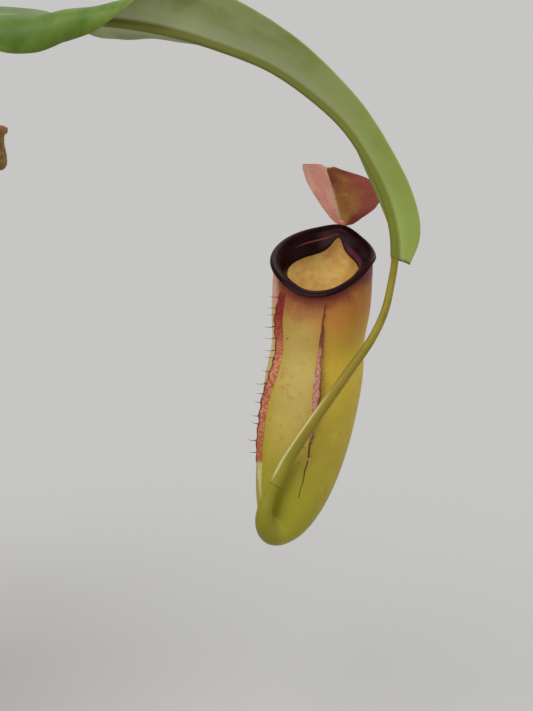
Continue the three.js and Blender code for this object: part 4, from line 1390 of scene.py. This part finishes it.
bud_finish = Finish("bud_down", Roughness=0.75, Specular_IOR_Level=0.3)
bud_u, _, _ = bud_finish.trait("bud", "Vector").parts()
bud_cloud = bud_finish.noise(bud_finish.place(), 300, 4, 0.6)
bud_colour = bud_finish.paint(
    "6a5228", (bud_cloud.step(0.35, 0.65), "937641"), (bud_u.step(0.72, 0.95) * 0.8, "96503a"),
)
bud_finish.wear(Base_Color=bud_colour)
bud_finish.bump(bud_cloud, 0.25)
for name, bud in BUDS.items():
    bud_form = bmesh.new()
    add_bud(bud_form, bud, 130)
    close_up(bud_form)
    club = new_piece(f"young_{name}", bud_form, bud_finish.material)
    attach(club, "root")
    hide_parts(f"bud_{name}")


# ---- the tendrils ----
# A leaf's midrib runs on past its blade as a smooth round cord. It hangs down, turns up and thickens into
# the hook of its pitcher or bud. Two old ones carry nothing and end bare. A pale highlight is painted down
# the lower part of each, where it faces up and to the left.
TENDRIL_RADIUS = 1.15
HANG_SWING = 0.38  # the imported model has 0.4; less keeps the outermost cord inside the model's own box
BARE_END = Vector((11, 0, -18))
BARE_WAY = Vector((-0.3, 0, -1))
BARE_RADIUS = 0.6
# The way the painted highlight faces: up, to the left and to the front.
HIGHLIGHT_WAY = Vector((-0.75, -0.45, 0.5)).normalized()


def tendril_end(name):
    """Where a tendril ends, in the plant's frame: the place, the way on out of the hook, and its radius."""
    if name in PITCHERS:
        pitcher = PITCHERS[name]
        before, end = [pitcher["place"] @ p for p in hook_points(pitcher["aside"])[-2:]]
        return end, (end - before).normalized(), HOOK_RADII[-1] * pitcher["size"]
    if name in BUDS:
        bud = BUDS[name]
        end = bud["place"] @ Vector()
        return end, (bud["place"] @ Vector((0, 0, -1)) - end).normalized(), 0.055 * bud["length"]
    return None


def add_tendril(form, tip, aim, between, end, way, radius, steps):
    points = [tip - aim * 9, tip - aim * 3, tip + aim * 0.3, *between]
    points += [end + way * 5, end + way * 0.6, end - way * 4]
    path = smooth_path(points)
    rows = evenly(path, steps)

    def radius_at(u):
        return (TENDRIL_RADIUS + (radius - TENDRIL_RADIUS) * u**1.5) * (1 - 0.4 * max(0, 1 - 12 * u))

    def stored(u, v):
        _, side, over = rows[round(u * steps)]
        out = side * math.cos(2 * math.pi * v) + over * math.sin(2 * math.pi * v)
        return {"cord": (u, v, out.dot(HIGHLIGHT_WAY))}

    add_tube(form, path, radius_at, steps, 16, traits=stored)


def hang(tip, aim, end, way):
    """Points along a soft bow that leaves the tip the way it points and comes down to the hook's end."""
    swing = (end - tip).length * HANG_SWING
    corners = (tip, tip + aim * swing, end + way * swing, end)
    return [bow_point(corners, u) for u in (0.2, 0.4, 0.6, 0.8)]


LONG_SWING = [
    (208.6, -16, 164.2), (206.4, -18.5, 155.7), (202.1, -21.5, 147.2), (195.2, -26.5, 138.4),
    (188.3, -30, 129.3), (181.8, -32, 120.4),
]
tendril_finish = Finish("tendril_skin", Roughness=0.45, Specular_IOR_Level=0.2)
cord_u, _, cord_lit = tendril_finish.trait("cord", "Vector").parts()
cord_place = tendril_finish.place()
cord_cloud = tendril_finish.noise(cord_place, 140, 3)
cord_fine = tendril_finish.noise(cord_place, 1500, 2)
# A pale highlight painted on the lower part of the cord, where it faces up and to the left.
cord_painted_highlight = cord_lit.step(0.86, 0.97) * cord_u.step(0.55, 0.75) * cord_u.step(1.0, 0.94)
cord_colour = tendril_finish.paint(
    "7c721d",
    (cord_cloud.step(0.35, 0.65), "8f8227"),
    (cord_u.step(0.35, 0.6) * 0.6, "8d7626"),
    (cord_u.step(0.7, 0.97), "8b8424"),
    (cord_painted_highlight * 0.8, "cdc888"),
)
tendril_finish.wear(Base_Color=cord_colour)
tendril_finish.bump(cord_fine, 0.05)


def new_tendril(name, form):
    close_up(form)
    made = new_piece(f"cord_{name}", form, tendril_finish.material)
    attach(made, "root")
    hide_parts(f"tendril_{name}")


long_cord = bmesh.new()
long_tip = Vector(LONG_LEAF[-1][0])
long_aim = Vector((0, -0.05, -1)).normalized()
long_swing = [Vector(p) for p in LONG_SWING]
add_tendril(long_cord, long_tip, long_aim, long_swing, *tendril_end("long"), 160)
new_tendril("long", long_cord)
for name, leaf in LEAVES.items():
    turned = round_stem(leaf)
    before, tip = [turned @ Vector(s[0]) for s in arched_leaf(leaf)[-2:]]
    aim = (tip - before).normalized()
    held = tendril_end(name)
    if not held:
        bare_end = turned @ (turned.inverted() @ tip + BARE_END)
        held = (bare_end, (turned.to_3x3() @ BARE_WAY).normalized(), BARE_RADIUS)
    cord = bmesh.new()
    add_tendril(cord, tip, aim, hang(tip, aim, held[0], held[1]), *held, 90)
    new_tendril(name, cord)


# ---- the youngest leaf ----
# Still rolled up like a scroll, it stands on the top of the stem and leans a little.
SPEAR_LENGTH = 62
SPEAR_RADIUS = 2.2
SPEAR_LEAN = Vector((3, 6, 0))
SPEAR_TURNS = 1.3
SPEAR_THICK = 0.35


def spear_place(u, v):
    foot = stem_axis(STEM_TOP) + Vector((0, 0, -1 + (SPEAR_LENGTH + 0.8) * u)) + SPEAR_LEAN * u * u
    slim = max(0.12, SPEAR_RADIUS * math.sin(math.pi * (0.25 + 0.75 * u)) ** 0.8)
    turn = 2 * math.pi * SPEAR_TURNS * v + u * 1.2
    radius = slim * (0.72 + 0.28 * v)
    return foot + Vector((math.cos(turn), math.sin(turn), 0)) * radius


spear_form = bmesh.new()
add_sheet(
    spear_form, 60, 44, spear_place,
    lambda u, v: {"blade": (60 * u, 6 * (v - 0.5), 8.0), "under": 1.0, "age": 0.0},
)
spear = new_piece("scroll_young", spear_form, leaf_finish.material)
spear_wall = spear.modifiers.new("thickness", "SOLIDIFY")
spear_wall.thickness = SPEAR_THICK * MM
spear_wall.offset = -1
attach(spear, "root")
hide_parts("leaf_young")
